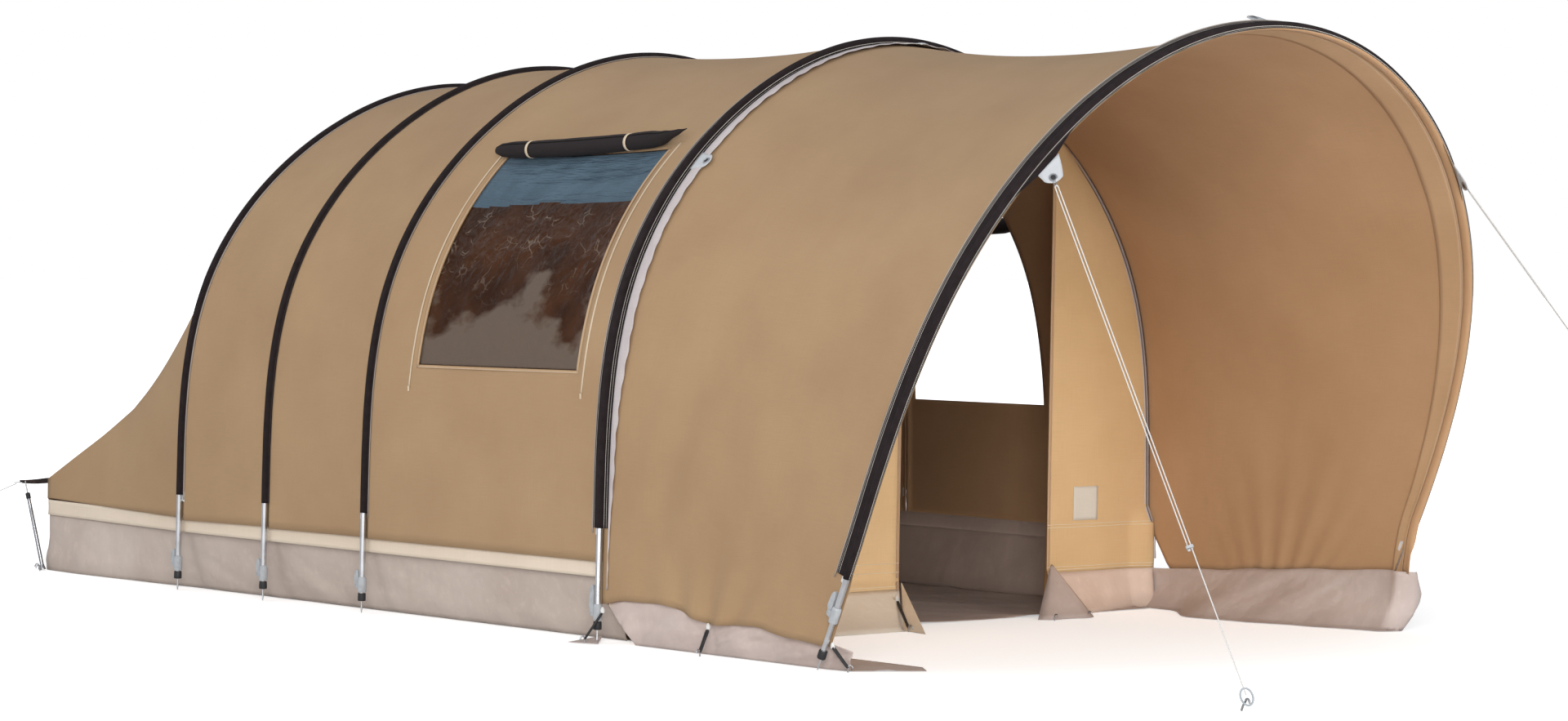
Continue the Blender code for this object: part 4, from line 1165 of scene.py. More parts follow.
def zip_flap():
    """The crinkled tape over the zip that joins the canopy to hoop 4."""
    hoop = HOOPS[3]
    rows = []
    start = hoop.up_leg(0.20)
    for s in spread(start, 2 - start, 320):
        point, normal = hoop.at(s)
        metres = s * ARC
        width = ZIP_COVER_WIDTH * along_table(ZIP_COVER_SHARE, point.z)
        width *= 1 + 0.16 * rough(metres, 0.0, 3.0, 1.0) + 0.14 * rough(metres, 0.0, 14.0, 2.0)
        row = []
        for k in range(8):
            t = k / 7
            wave = t * (0.0042 * rough(metres, t, 16.0, 5.0) + 0.0020 * math.sin(metres * 70 + 4 * t))
            b = -(SLEEVE_FRONT[3] - 0.002) - width * t
            level = -CLOTH_OFF + 0.0036 + 0.002 * math.sin(math.pi * t) + wave
            row.append(point + hoop.rear * b + normal * level)
        rows.append(row)
    piece = cloth("zip_cover_4", rows, "zip_tape", inside=(0.0, WALL_Y, 0.8), thickness=0.0010)


# Canopy
def free_corner(station, share):
    """How far forward the canopy's right corner hangs below the sleeve's end, where it is not sewn."""
    up = (2 - station) / LEG_STATION * HOOPS[4].leg_length
    loose = clamp((CORNER_FROM - up) / CORNER_FADE) ** 1.4
    return Vector((0.0, -CORNER_HANG * loose * max(0.0, 1 - share / CORNER_SHARE) ** 2, 0.0))


def canopy_point(station, share, out=0.0):
    spot = roof_point(HOOPS[3], HOOPS[4], station, share, CANOPY_SAG, out, (EDGE_OFF, CLOTH_OFF))
    return spot + free_corner(station, share)


def canopy_wrap(station, share):
    """A point of the canopy's front hem, which turns up round the tube's front to the sleeve's end."""
    front = HOOPS[4]
    point, normal = front.at(station)
    up = min(station, 2 - station) / LEG_STATION * front.leg_length
    sewn = clamp((up - SLEEVE_FROM[4] + 0.03) / 0.05)
    first = front_turn(station) + 1.0
    angle = math.radians(first + (162.0 - first) * share)
    n = WRAP_R * math.cos(angle)
    spot = point - front.rear * (WRAP_R * math.sin(angle)) + normal * (-0.019 + (n + 0.019) * sewn)
    return spot + free_corner(station, 0.0)


def canopy_cloth():
    """One curved sheet from hoop 4 out to the front hoop, with its folds; it rides no body."""
    back, front = HOOPS[3], HOOPS[4]
    shares = [0.0] * WRAP_STEPS + roof_shares(1.25, 48)
    rows = []
    for t in even(200):
        row = []
        for column, u in enumerate(shares):
            forward = 1 - u
            leg = front.leg_length * forward + back.leg_length * (1 - forward)
            low_left = along_table(EDGE_LEFT, forward) / leg * LEG_STATION * (1.0 + 0.09 * forward)
            low_right = max(along_table(EDGE_RIGHT, forward), 0.345 - 2.0 * forward)
            low_right *= (1.0 + 0.09 * forward) / leg * LEG_STATION
            s = low_left + (2 - low_right - low_left) * t
            span = 1.2 + 0.85 * math.sin(math.pi * clamp(s, 0, 2) / 2)
            free = 4 * u * (1 - u)
            height_left, height_right = s / LEG_STATION * 0.5, (2 - s) / LEG_STATION * 0.5
            out = seam_pucker(min(u, 1 - u) * span, s * ARC, 21.0) * 0.8
            out += 0.006 * free * rough(s * ARC, u * span, 1.4, 12.0)
            if s < 0.6:
                fan = math.sin((forward - HOOK_SHARE) * 26 / (0.35 + height_left))
                out += 0.018 * free * fan * math.exp(-height_left / 0.32) * bump(forward, 0.46, 0.26)
                slant = math.sin(34 * (forward - 0.16 * height_left))
                out += 0.008 * free * slant * bump(forward, 0.20, 0.16) * bump(height_left, 0.75, 0.55)
            if s > 1.4:
                fan = math.sin((forward - 0.57) * 46 / (0.27 + height_right))
                out += 0.019 * free * fan * math.exp(-height_right / 0.30) * bump(forward, 0.57, 0.24)
            limit = 0.0005 + 0.02 * clamp((free - 0.06) / 0.3)
            if column < WRAP_STEPS:
                row.append(canopy_wrap(s, column / (WRAP_STEPS - 1)))
            else:
                row.append(canopy_point(s, u, clamp(out, -limit, limit)))
        rows.append(row)
    piece = cloth("canopy_cloth", rows, "canvas", "lining", inside=UNDER_CANOPY, bent=True)
    apply_modifiers(piece)
    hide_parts("canopy")
    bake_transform(piece)


def apply_modifiers(piece):
    """Put a piece's thickness into the mesh itself."""
    graph = bpy.context.evaluated_depsgraph_get()
    made = bpy.data.meshes.new_from_object(piece.evaluated_get(graph))
    piece.modifiers.clear()
    piece.data = made


def canopy_hem():
    """The sewn line and folded strip inside the canopy's front edge."""
    rows = []
    for s in spread(0.045, 1.955, 180):
        row = []
        for u in spread(HEM_FROM, along_table(HEM_TO, s), 6):
            loose = 0.0035 * max(0.0, rough(s * ARC, u * 3, 5.0, 91.0)) * (u > HEM_FROM)
            row.append(canopy_point(s, u, -0.0036 - loose))
        rows.append(row)
    piece = cloth("canopy_hem_strip", rows, "hem", inside=UNDER_CANOPY, body="front_hoop", thickness=0.0008)


# Rear panel
def rear_rim(station, low):
    """Two points of the rear panel's edge: on the upright corner and top of the back, and at its foot."""
    sign = -1.0 if station <= 1.0 else 1.0
    half = min(station, 2 - station)
    if half < REAR_CORNER:
        up = (half - low) / (REAR_CORNER - low)
        bottom = ROOF_BOTTOM + REAR_CORNER_RISE
        edge = Vector((sign * REAR_HALF, REAR_Y, bottom + (REAR_TOP - bottom) * up))
        return edge, Vector((sign * (REAR_HALF - 0.008 - 0.045 * up), REAR_Y, ROOF_BOTTOM))
    along = (half - REAR_CORNER) / (1.0 - REAR_CORNER)
    bow = REAR_BOW * math.sin(math.pi * along / 2)
    edge = Vector((sign * REAR_HALF * (1 - along), REAR_Y - bow, REAR_TOP))
    return edge, Vector((sign * (REAR_HALF - 0.053) * (1 - along), REAR_Y - bow / 2, ROOF_BOTTOM))


def rear_cloth():
    hoop = HOOPS[0]
    low = hoop.up_leg(ROOF_BOTTOM)
    shares = [0.0, 0.006, 0.011, 0.016, 0.021] + spread(0.04, 1.0, 32)
    rows = []
    for s in spread(low, 2 - low, 150):
        a, normal = hoop.at(s)
        top = a - normal * CLOTH_OFF
        rim, foot = rear_rim(s, low)
        half = min(s, 2 - s)
        slope = Vector((0.6 * normal.x, 0.45, 0.2 + 0.65 * normal.z)).normalized()
        row = []
        for u in shares:
            fold = min(u / REAR_KINK, (1 - u) / (1 - REAR_KINK))
            hollow = REAR_SAG * (fold - 0.05 * fold * fold) * min(1.0, (half - low) / 0.35)
            hollow -= 0.004 * 4 * u * (1 - u) * rough(s * ARC, u * 1.5, 2.5, 31.0)
            rise = (CLOTH_OFF - roof_level(u * 1.3)) * (1 - u)
            row.append(top.lerp(rim, u) - slope * hollow + normal * rise)
        rows.append(row + [rim.lerp(foot, 0.5), foot])
    piece = cloth("rear_cloth", rows, "canvas", "lining", inside=(0.0, 1.5, 0.5))
    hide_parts("rear_panel")


# Groundsheet and mud wall
def tub_path(half, front_y, back_y, corner, rear_half):
    """A line round the tent: from the left front along the left side, the back and the right side."""
    line = ((-half, front_y), (-half, HOOPS[0].y), (-rear_half - 0.02, REAR_Y - 0.3),
            (-rear_half, back_y - corner), (-rear_half + corner, back_y))
    return [Vector((x, y, 0.0)) for x, y in line] + [Vector((-x, y, 0.0)) for x, y in reversed(line)]


def spaced(points, count):
    """count points at even steps along a line of corners."""
    lengths = running((b - a).length for a, b in zip(points, points[1:]))
    made, k = [], 0
    for wanted in spread(0.0, lengths[-1], count):
        while k < len(points) - 2 and lengths[k + 1] < wanted:
            k += 1
        made.append(points[k].lerp(points[k + 1], (wanted - lengths[k]) / (lengths[k + 1] - lengths[k])))
    return made


def mud_wall():
    """The standing mud wall with its cream band, in soft folds, and the floor."""
    count = 420
    top = spaced(tub_path(BAND_HALF, WALL_Y, REAR_Y, 0.02, REAR_HALF), count)
    base = spaced(tub_path(FLOOR_HALF, WALL_Y - 0.02, REAR_Y + 0.004, 0.02, REAR_HALF + 0.014), count)
    around = spread(0.0, TUB_ROUND, count)
    rise = BAND_LOW + 0.008
    rows = []
    for k, s in enumerate(around):
        row = []
        out = (top[k] - Vector((0.0, 0.9, 0.0))).normalized()
        for t in even(14):
            z = 0.0012 + rise * t
            fold = 0.017 * rough(s - z * 1.6, z * 1.2, 3.6, 41.0) + 0.011 * rough(s - z * 2.0, z, 9.0, 42.0)
            free = 4 * t * (1 - t)
            spot = base[k].lerp(top[k], t * rise / 0.30)
            push = fold * (0.35 + 0.65 * free) * (1 - t * 0.6) - 0.003
            spot = Vector((spot.x, spot.y, z)) + out * push
            spot.x = clamp(spot.x, -TUB_LIMIT, TUB_LIMIT)
            row.append(spot)
        rows.append(row)
    wall = cloth("mud_wall_cloth", rows, "mud", "floor", inside=(0.0, 0.9, 0.15))
    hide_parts("groundsheet")
    rows = []
    for k, s in enumerate(around):
        out = Vector((top[k].x, 0.0, 0.0)).normalized() if abs(top[k].x) > 1.3 else REARWARD
        row = []
        for t in even(6):
            spot = Vector((top[k].x, top[k].y, BAND_LOW + (BAND_HIGH - BAND_LOW) * t))
            row.append(spot + out * (0.009 + 0.0014 * rough(s, t * 0.3, 9.0, 44.0)))
        rows.append(row)
    band = cloth("cream_band", rows, "cream", "floor", inside=(0.0, 0.9, 0.27), thickness=0.0010)
    rows = []
    for y in spread(WALL_Y - 0.118, REAR_Y - 0.006, 110):
        half = FLOOR_HALF - 0.004 - 0.014 * clamp((y - HOOPS[0].y) / 0.8)
        row = []
        for x in spread(-half, half, 80):
            ridge = math.sin(2 * math.pi * ((0.67 * x + 0.74 * y) * 2.4 + 0.9 * rough(x, y, 1.1, 53.0)))
            lift = 0.0045 + 0.0028 * rough(x, y, 2.4, 51.0) + 0.0012 * rough(x, y, 9.0, 52.0)
            lift += 0.0055 * max(0.0, ridge) ** 3
            row.append(Vector((x, y, max(0.0022, lift))))
        rows.append(row)
    floor = cloth("floor_cloth", rows, "floor", inside=(0.0, 0.9, -1.0), thickness=0.0010)


# Front wall
def wall_kick(z):
    """How far the wall's foot has swung out at a height, from 0 to 1."""
    return max(0.0, 1 - z / WALL_KICK_TOP) ** WALL_KICK_POWER


def wall_forward(side, x, z):
    free = clamp((LEG_FROM_X - abs(x)) / 0.75)
    beside = clamp((abs(x) - LEG_FROM_X) / LEG_FADE) * clamp((LEG_TO_Z - z) / LEG_FADE)
    return WALL_FORWARD[side] * wall_kick(z) * free + LEG_CLEAR * beside


def wall_billow(side, x, z):
    """How far the wall's cloth billows out between its outer edge and the door."""
    door = door_edge(side, z)
    outer = wall_edge(station_at_height(z)).x * -SIDE_SIGN[side]
    share = clamp((x - outer) / (door - outer))
    return WALL_BILLOW * math.sin(math.pi * share) * (0.4 + 0.6 * math.sin(math.pi * z / 2.4))


def on_wall(side, x, z, out=0.0):
    """A point on the front wall; out is towards the front."""
    fold = 0.004 * rough(x * 1.8, z * 0.5, 3.0, 61.0) * min(1.0, z / 0.3)
    return Vector((x, WALL_Y - wall_forward(side, x, z) - wall_billow(side, x, z) - out - fold, z))


def wall_edge(station):
    point, normal = HOOPS[3].at(station)
    return point - normal * WALL_INSET


def station_over(x):
    """The station where the front wall's outline has a place across the tent."""
    return bisect(1.0, 2.0, 30, lambda s: wall_edge(s).x < x)


def station_at_height(z):
    """The station on the left half of hoop 4 where the front wall's outline is z high."""
    return bisect(0.0, 1.0, 16, lambda s: wall_edge(s).z < z)


def door_edge(side, z):
    return DOOR_LEFT - DOOR_SWING * wall_kick(z) if side == "left" else DOOR_RIGHT


def wall_outer(z):
    """How far out the front wall reaches below the zip, where it passes in front of the leg."""
    return along_table(WALL_OUTER, z)


def front_wall(side):
    """One side of the front wall with its hems, and the mud flap along its foot."""
    left = side == "left"
    sign = SIDE_SIGN[side]
    top = LEFT_WALL_TOP if left else 2 - station_over(DOOR_RIGHT + 0.004)
    hem = WALL_HEM[side]
    edges = [(sign * wall_outer(z), z) for z in spread(hem, 0.34, 10)]
    for s in spread(HOOPS[3].up_leg(WALL_RISE), top, 90):
        edge = wall_edge(to_side(side, s))
        edges.append((edge.x, edge.z))
    rows = []
    for x_out, z in edges:
        inner = door_edge(side, z)
        rows.append([on_wall(side, x_out + (inner - x_out) * u, z) for u in even(36)])
    # The left side takes the lighter, painted-lit copy of the wall cloth
    look = "wall" if left else "wall_far"
    piece = cloth("front_wall_cloth_" + side, rows, look, "wall_in", inside=IN_TENT)
    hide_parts("front_wall_" + side)
    rows = []
    for u in even(40):
        row = []
        for t in even(9):
            z = hem + 0.002 - (hem + 0.001) * t
            short = FLAP_SHORT * t if left else 0.0
            outer = sign * (wall_outer(z) - short)
            x = outer + (door_edge(side, z) - outer) * u
            wave = 0.006 * rough(x * 2.0, t * 0.5, 5.0, 71.0) * math.sin(math.pi * t)
            spot = on_wall(side, x, max(z, 0.0), 0.002 + 0.030 * t * t + wave)
            row.append(Vector((spot.x, spot.y, max(z, 0.0014))))
        rows.append(row)
    # The left flap takes the lighter, painted-lit copy of the flap cloth
    look = "pale_mud" if left else "pale_far"
    flap = cloth("wall_mud_flap_" + side, rows, look, inside=(0.0, 0.5, 0.1))
    for number, z in enumerate(WALL_STITCHES[side]):
        x_end = sign * (wall_outer(z) - 0.004)
        reach = door_edge(side, z) - x_end
        line = [on_wall(side, x_end + reach * u, z, 0.0016) for u in even(60)]
        swept("wall_seam_%s_%d" % (side, number + 1), line, ring(0.0013, 6), "thread")
    rows = []
    for z in spread(hem, 2.2 if left else DOOR_TOP, 60):
        x = door_edge(side, z)
        rows.append([on_wall(side, x + sign * w, z, 0.0018) for w in (0.0, 0.007, 0.015)])
    cloth("door_hem_" + side, rows, "hem", inside=IN_TENT, thickness=0.0016)


def wall_header():
    rows = []
    for x in spread(DOOR_LEFT + 0.001, DOOR_RIGHT - 0.001, 30):
        top = wall_edge(station_over(x)).z - 0.001
        rows.append([Vector((x, WALL_Y, z)) for z in spread(DOOR_TOP, top, 8)])
    # The header takes the lighter, painted-lit copy of the wall cloth
    piece = cloth("wall_header_cloth", rows, "wall", "wall_in", inside=IN_TENT)
    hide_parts("front_wall_header")


def door_roll():
    """The open half of the door, rolled and tied back behind the right side."""
    x, y = DOOR_RIGHT + DOOR_ROLL[0], WALL_Y + DOOR_ROLL[1]
    rows = []
    for z in spread(DOOR_ROLL_R[0][0], DOOR_ROLL_R[-1][0], 70):
        size = along_table(DOOR_ROLL_R, z)
        row = []
        for k in range(41):
            angle = 2 * math.pi * k / 40
            fold = math.sin(5 * angle + 2.0 * z) * math.sin(3 * z + 1)
            radius = size * (0.93 + 0.07 * fold - 0.08 * k / 40)
            row.append(Vector((x + radius * 0.9 * math.cos(angle), y + radius * math.sin(angle), z)))
        rows.append(row)
    piece = cloth("door_roll", rows, "wall_in", inside=(x, y, 1.0), thickness=0.0016)
    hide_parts("door_leaf")


def wall_zip():
    """The zip along the right edge of the front wall: tape, teeth and a two way slider."""
    rows, teeth = [], []
    for s in spread(HOOPS[3].up_leg(ZIP_FROM), 2 - station_over(0.2), 120):
        edge = wall_edge(2 - s)
        _, normal = HOOPS[3].at(2 - s)
        fold = on_wall("right", edge.x, edge.z).y
        rows.append([Vector((edge.x, fold - 0.002, edge.z)) - normal * w for w in (0.0, 0.010, 0.024)])
        teeth.append(Vector((edge.x, fold - 0.0042, edge.z)) - normal * 0.015)
    cloth("wall_zip_tape", rows, "zip_tape", inside=IN_TENT, thickness=0.0012)
    swept("wall_zip_teeth", teeth, oblong(0.0025, 0.001), "zip_teeth", ups=[AHEAD] * len(teeth))
    low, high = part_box("zip_slider")
    middle = (Vector(low) + Vector(high)) / 2
    place = Matrix.Translation(middle)
    outline = [(-0.0042, -0.012), (0.0042, -0.012), (0.0048, 0.004), (0.003, 0.013), (-0.003, 0.013),
               (-0.0048, 0.004)]
    head = block("slider_head", outline, -0.006, 0.006, "steel", "zip_slider", place, 0.001)
    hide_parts("zip_slider")
    for number, turn in ((2, -1), (1, 1)):
        pull = [middle + Vector((turn * 0.003 - 0.004, -0.006, -0.006)),
                middle + Vector((turn * 0.006 - 0.012, -0.008, -0.018)),
                middle + Vector((turn * 0.007 - 0.020, -0.008, -0.032))]
        path = smooth_line(pull, 4)
        ups = [AHEAD] * len(path)
        swept("slider_pull_%d" % number, path, oblong(0.003, 0.0008), "steel", "zip_slider", ups)


def label():
    """The bare sewn patch on the right side of the front wall."""
    rows = []
    for z in spread(*LABEL_Z, 10):
        places = spread(*LABEL_X, 10)
        rows.append([on_wall("right", x, z, 0.0022 + 0.0005 * rough(x, z, 40.0)) for x in places])
    patch = cloth("sewn_patch", rows, "label", inside=IN_TENT, thickness=0.0009)


# Mud flaps of the canopy
def edge_height(side, forward):
    return along_table(EDGE_LEFT if side == "left" else EDGE_RIGHT, forward)


def flap_line(side, f):
    """A mud flap's top and foot, by the share of the way to the front hoop. Past 1 it goes on beside the
    hoop's foot, on the right side turning outwards in front of it."""
    near, past = min(f, 1.0), max(0.0, f - 1.0) / (FLAP_END - 1.0)
    height = edge_height(side, near) + 0.006
    y = WALL_Y - 0.012 + (HOOPS[4].y + 0.012 - WALL_Y) * near
    lean = math.tan(FRONT_LEAN + 0.1) * height * near
    x = SKIRT_X - 0.004
    if side == "left":
        top = Vector((-(x - 0.022 * past), y - lean - 0.085 * past, height - 0.022 * past))
        slant = 0.16 * max(0.0, 1 - near / 0.22) ** 1.5
        return top, Vector((-(SKIRT_X - 0.016 - 0.020 * past), y - 0.105 * past - slant, ON_GROUND))
    out = past * past * (3 - 2 * past)
    turn = math.sin(math.pi * min(1.0, past * 1.1)) * 0.5 + min(1.0, past * 1.6) * 0.5
    x += 0.120 * out - 0.020 * min(1.0, past * 6)
    top = Vector((x, y - lean - 0.080 * turn, height - 0.010 * past))
    x = along_table(FAR_FOOT, near) + 0.115 * out
    return top, Vector((x, y - 0.10 * near ** 6 - 0.055 * turn, ON_GROUND))


def mud_flap(side):
    """A mud flap: sewn to the canopy's edge, folded, with its foot inwards on the ground."""
    sign = SIDE_SIGN[side]
    left = side == "left"
    rows = []
    for f in spread(0.0, FLAP_END, 176):
        top, foot = flap_line(side, f)
        past = max(0.0, f - 1.0) / (FLAP_END - 1.0)
        reach = SKIRT_FLAP * clamp((WALL_Y - 0.13 - foot.y) / 0.25, 0.06) if left else 0.02
        row = []
        for t in even(14):
            hang = math.sin(math.pi * t)
            wave = 0.0080 * math.sin(2 * math.pi * (3.5 * f + 0.35 * t)) + 0.006 * rough(f * 3, t, 3.0, 81.0)
            wave += 0.0080 * rough(f * 9 + 2.6 * t, t, 3.0, 82.0)
            spot = top.lerp(foot, t)
            bulge = 0.0 if left else (0.030 + 0.03 * past) * hang
            spot.x += sign * wave * hang + bulge
            spot.z = max(spot.z, ON_GROUND)
            if past == 0.0:
                spot.x = clamp(spot.x, -CLOTH_LIMIT, CLOTH_LIMIT)
            row.append(spot)
        for t in spread(0.1, 1.0, 10):
            lift = ON_GROUND + 0.007 * abs(rough(f * 7, t * 1.5, 2.0, 83.0)) * math.sin(math.pi * t)
            x = foot.x - sign * (reach * (1 - 0.3 * past)) * t
            row.append(Vector((x, foot.y - 0.15 * min(f, 1.0) ** 4 * t * left, lift)))
        rows.append(row)
    piece = cloth("mud_flap_cloth_" + side, rows, "skirt", inside=(0.0, WALL_Y - 0.6, 0.1))
    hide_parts("skirt_" + side)


def gusset(name, points, look, sag=0.015):
    """A small three cornered flap of cloth with a soft fold down its middle."""
    top, left, right = (behind_wall(*p) for p in points)
    rows = []
    for t in even(12):
        row = []
        for w in even(9):
            spot = top.lerp(left.lerp(right, w), max(t, 0.03))
            fold = sag * math.sin(math.pi * w) * math.sin(math.pi * min(1.0, t * 1.1) * 0.5)
            fold += 0.4 * sag * math.sin(3 * math.pi * w) * t
            row.append(Vector((spot.x, spot.y - fold, max(spot.z, 0.0020))))
        rows.append(row)
    cloth(name, rows, look, inside=(0.0, 0.5, 0.5), thickness=0.0012)


def corner_flaps():
    """The corner flaps at the doorway's foot and the flat corners beside hoop 4's feet."""
    corners = ((0.876, -0.030, 0.205), (0.600, -0.235, 0.002), (0.893, -0.262, 0.002))
    gusset("door_corner_right", corners, "skirt", 0.035)
    small_peg("door_peg_1", (0.639, WALL_Y - 0.290), (0.2, -1.0))
    small_peg("door_peg_2", (0.853, WALL_Y - 0.268), (0.2, -1.0))
    corners = ((0.046, -0.018, 0.165), (-0.205, -0.305, 0.002), (-0.235, -0.460, 0.002))
    # This flap takes the lighter, painted-lit copy of the flap cloth
    gusset("door_corner_left", corners, "pale_mud", 0.012)
    for side, sign in SIDE_SIGN.items():
        corners = ((sign * 1.388, 0.100, 0.012), (sign * 1.590, 0.060, 0.002), (sign * 1.545, -0.060, 0.002))
        gusset("hoop4_corner_" + side, corners, "skirt", 0.0)


# Hoop legs, clamps and levers
def leg_fittings(number, side):
    hoop = HOOPS[number - 1]
    tent = hoop.body
    frame_at = hoop.leg_frame(side)
    end = TUBE_END[number - 1]
    tag = "%d_%s" % (number, side)
    collar = ((0.0166, -0.001), (0.0178, 0.002), (0.0178, 0.050), (0.0168, 0.054), (0.0130, 0.060),
              (0.0130, 0.053))
    collar = [(radius, end + height) for radius, height in collar]
    turned("clamp_collar_" + tag, collar, "grey", tent, frame_at, 24)
    ear = ((0.010, 0.012), (0.030, 0.016), (0.035, 0.026), (0.030, 0.036), (0.010, 0.040))
    ear = [(y, end + z) for y, z in ear]
    for name, low, high in (("outer", -0.0122, -0.0096), ("inner", 0.0096, 0.0122)):
        block("clamp_ear_%s_%s" % (name, tag), ear, low, high, "grey", tent, frame_at, 0.0006)
    pin_at = frame_at @ Matrix.Translation((0.0, LEVER_PIVOT[0], end + LEVER_PIVOT[1]))
    cross = pin_at @ Matrix.Rotation(math.radians(90), 4, "Y")
    turned("clamp_pin_" + tag, ((0.0022, -0.0130), (0.0022, 0.0130)), "steel", tent, cross, 12)
    long = {4: 0.105, 5: 0.082}.get(number, 0.060)
    lever = [(-0.0070, -0.002), (-0.004, -0.0068), (0.002, -0.0070), (0.010, 0.004), (0.0175, 0.022),
             (0.016, long * 0.55), (0.013, long * 0.86), (0.005, long), (-0.003, long * 0.98),
             (-0.0065, long * 0.8), (-0.0085, long * 0.5), (-0.0070, 0.012)]
    blade = block("lever_blade_" + tag, lever, -0.0086, 0.0086, "grey", "lever_" + tag, pin_at, 0.0022)
    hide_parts("clamp_lever_" + tag)
    cap = ((0.0100, 0.048), (0.0152, 0.049), (0.0163, 0.052), (0.0163, 0.068), (0.0158, 0.070),
           (0.0158, 0.078), (0.0150, 0.0795), (0.0106, 0.0797))
    turned("foot_cap_" + tag, cap, "rubber", "leg_" + tag, frame_at, 24)


def legs():
    for number in range(1, 6):
        for side in SIDE_SIGN:
            leg_fittings(number, side)


def sleeve_buckles():
    """The small pale buckles that tension each sleeve at its end."""
    for number in range(1, 6):
        y = -0.021 if number == 1 else 0.021
        z = SLEEVE_FROM[number - 1]
        hoop = HOOPS[number - 1]
        outline = [(y - 0.007, z - 0.030), (y + 0.009, z - 0.026), (y + 0.008, z + 0.010),
                   (y - 0.007, z + 0.014)]
        for side, sign in SIDE_SIGN.items():
            low, high = sorted((sign * -0.012, sign * -0.005))
            name = "sleeve_buckle_%d_%s" % (number, side)
            block(name, outline, low, high, "pale_plastic", hoop.body, hoop.leg_frame(side), 0.001)


# Tabs, hooks, pegs and straps
def tab_plate(name, base_a, base_b, tip, look, body):
    """A triangular cloth tab with rounded tip and a steel eyelet."""
    middle = (base_a + base_b) / 2
    along = (tip - middle).normalized()
    base_way = (base_b - base_a).normalized()
    out = base_way.cross(along).normalized()
    side = along.cross(out).normalized()
    half = (base_b - base_a).length / 2
    rows = []
    for t in even(10):
        width = half * (1 - t) ** 1.15 + TAB_TIP * min(1.0, t * 1.3)
        if t > 0.76:
            width *= math.sqrt(max(0.02, 1 - ((t - 0.76) / 0.24) ** 2))
        base = middle.lerp(tip, t)
        way = base_way.lerp(side, min(1.0, t * 1.5)).normalized()
        row = []
        for w in spread(-1.0, 1.0, 7):
            row.append(base + way * (width * w) + out * (0.0008 * math.cos(w * 2)))
        rows.append(row)
    cloth(name, rows, look, body=body, thickness=0.0030, inside=tuple(tip - out * 0.5))
    frame_at = axes_frame(tip - along * 0.021, out)
    eyelet = ((0.0140, -0.0058), (0.0158, -0.0044), (0.0158, 0.0014), (0.0140, 0.0032), (0.0100, 0.0032),
              (0.0088, 0.0014))
    turned(name + "_eyelet", eyelet, "steel", body, frame_at, 24)
    # Painted shade: a black disc in the eyelet stands for its dark hole, as the tab cloth under it is not cut
    hole_shade_disc = ((0.0001, -0.0062), (0.0086, -0.0062), (0.0086, 0.0024), (0.0001, 0.0024))
    turned(name + "_hole", hole_shade_disc, "rubber", body, frame_at, 16)


def sleeve_pull(side, edge):
    """The part of the front sleeve that the guy's tab draws out to a soft point."""
    front = HOOPS[4]
    middle = to_side(side, GUY_STATION)
    base, _ = front.at(middle)
    rows = []
    for d in spread(-PULL_HALF, PULL_HALF, 23):
        point, normal = front.at(middle + d)
        root = point - front.rear * (SLEEVE_R * 0.90) - normal * 0.004
        draw = (edge - base + front.rear * SLEEVE_R) * ((1 - (d / PULL_HALF) ** 2) ** 2 * 1.05)
        rows.append([root.lerp(root + draw, t) for t in even(7)])
    cloth("sleeve_pull_" + side, rows, "front_band", body="front_hoop", thickness=0.0012,
          inside=tuple(base * 0.5), across=spread(0.0, 0.0245, 7))


def front_tabs():
    for side in SIDE_SIGN:
        edge, along, across, tangent, _ = guy_line(side)
        tip = edge + along * TAB_LENGTH
        sleeve_pull(side, edge)
        tab_plate("guy_tab_cloth_" + side, edge - tangent * TAB_HALF, edge + tangent * TAB_HALF, tip, "tab",
                  "front_hoop")
        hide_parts("guy_tab_" + side)
        hook = ((-0.018, 0.004), (-0.004, 0.006), (0.010, 0.003), (0.0145, 0.0), (0.010, -0.003),
                (-0.004, -0.002))
        path = smooth_line([tip + along * a + across * b for a, b in hook], 5)
        ups = [along.cross(across)] * len(path)
        swept("guy_hook_" + side, path, ring(0.0016, 8), "steel", "front_hoop", ups)


def small_tabs():
    """The other storm tabs: on hoop 4's left and top, on the front hoop's top and on hoop 2's left."""
    spots = (("tab_4_left", 4, 0.615, -1.0, "tab"), ("tab_4_top", 4, 1.015, -1.0, "tab"),
             ("tab_5_top", 5, 0.99, 1.0, "tab"), ("tab_2_left", 2, 0.575, -1.0, "canvas"),
             ("tab_4_right", 4, 1.385, -1.0, "tab"))
    for name, number, station, way, look in spots:
        hoop = HOOPS[number - 1]
        point, normal = hoop.at(station)
        tangent = normal.cross(hoop.rear).normalized()
        sewn = SLEEVE_FRONT[number - 1] - 0.004 if way < 0 else SLEEVE_BACK[number - 1] - 0.004
        base = point + hoop.rear * (way * sewn) + normal * (-CLOTH_OFF + 0.0066)
        tip = base + hoop.rear * (way * SMALL_TAB_LENGTH) + normal * -0.001
        half = tangent * SMALL_TAB_HALF
        tab_plate(name, base - half, base + half, tip, look, hoop.body)


def peg(name, top, away, replaces):
    """A round steel peg, hooked over at its top."""
    away = Vector((away.x, away.y, 0.0)).normalized()
    foot = top - away * 0.020
    foot.z = 0.0028
    head = ((0.0, -0.010), (0.004, -0.002), (0.014, -0.002), (0.022, -0.014))
    path = smooth_line([foot, foot.lerp(top, 0.45)] + [top + away * a + UP * z for a, z in head], 5)
    piece = swept(name, path, ring(0.0040), "steel", ups=[UP.cross(away)] * len(path))
    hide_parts(replaces)


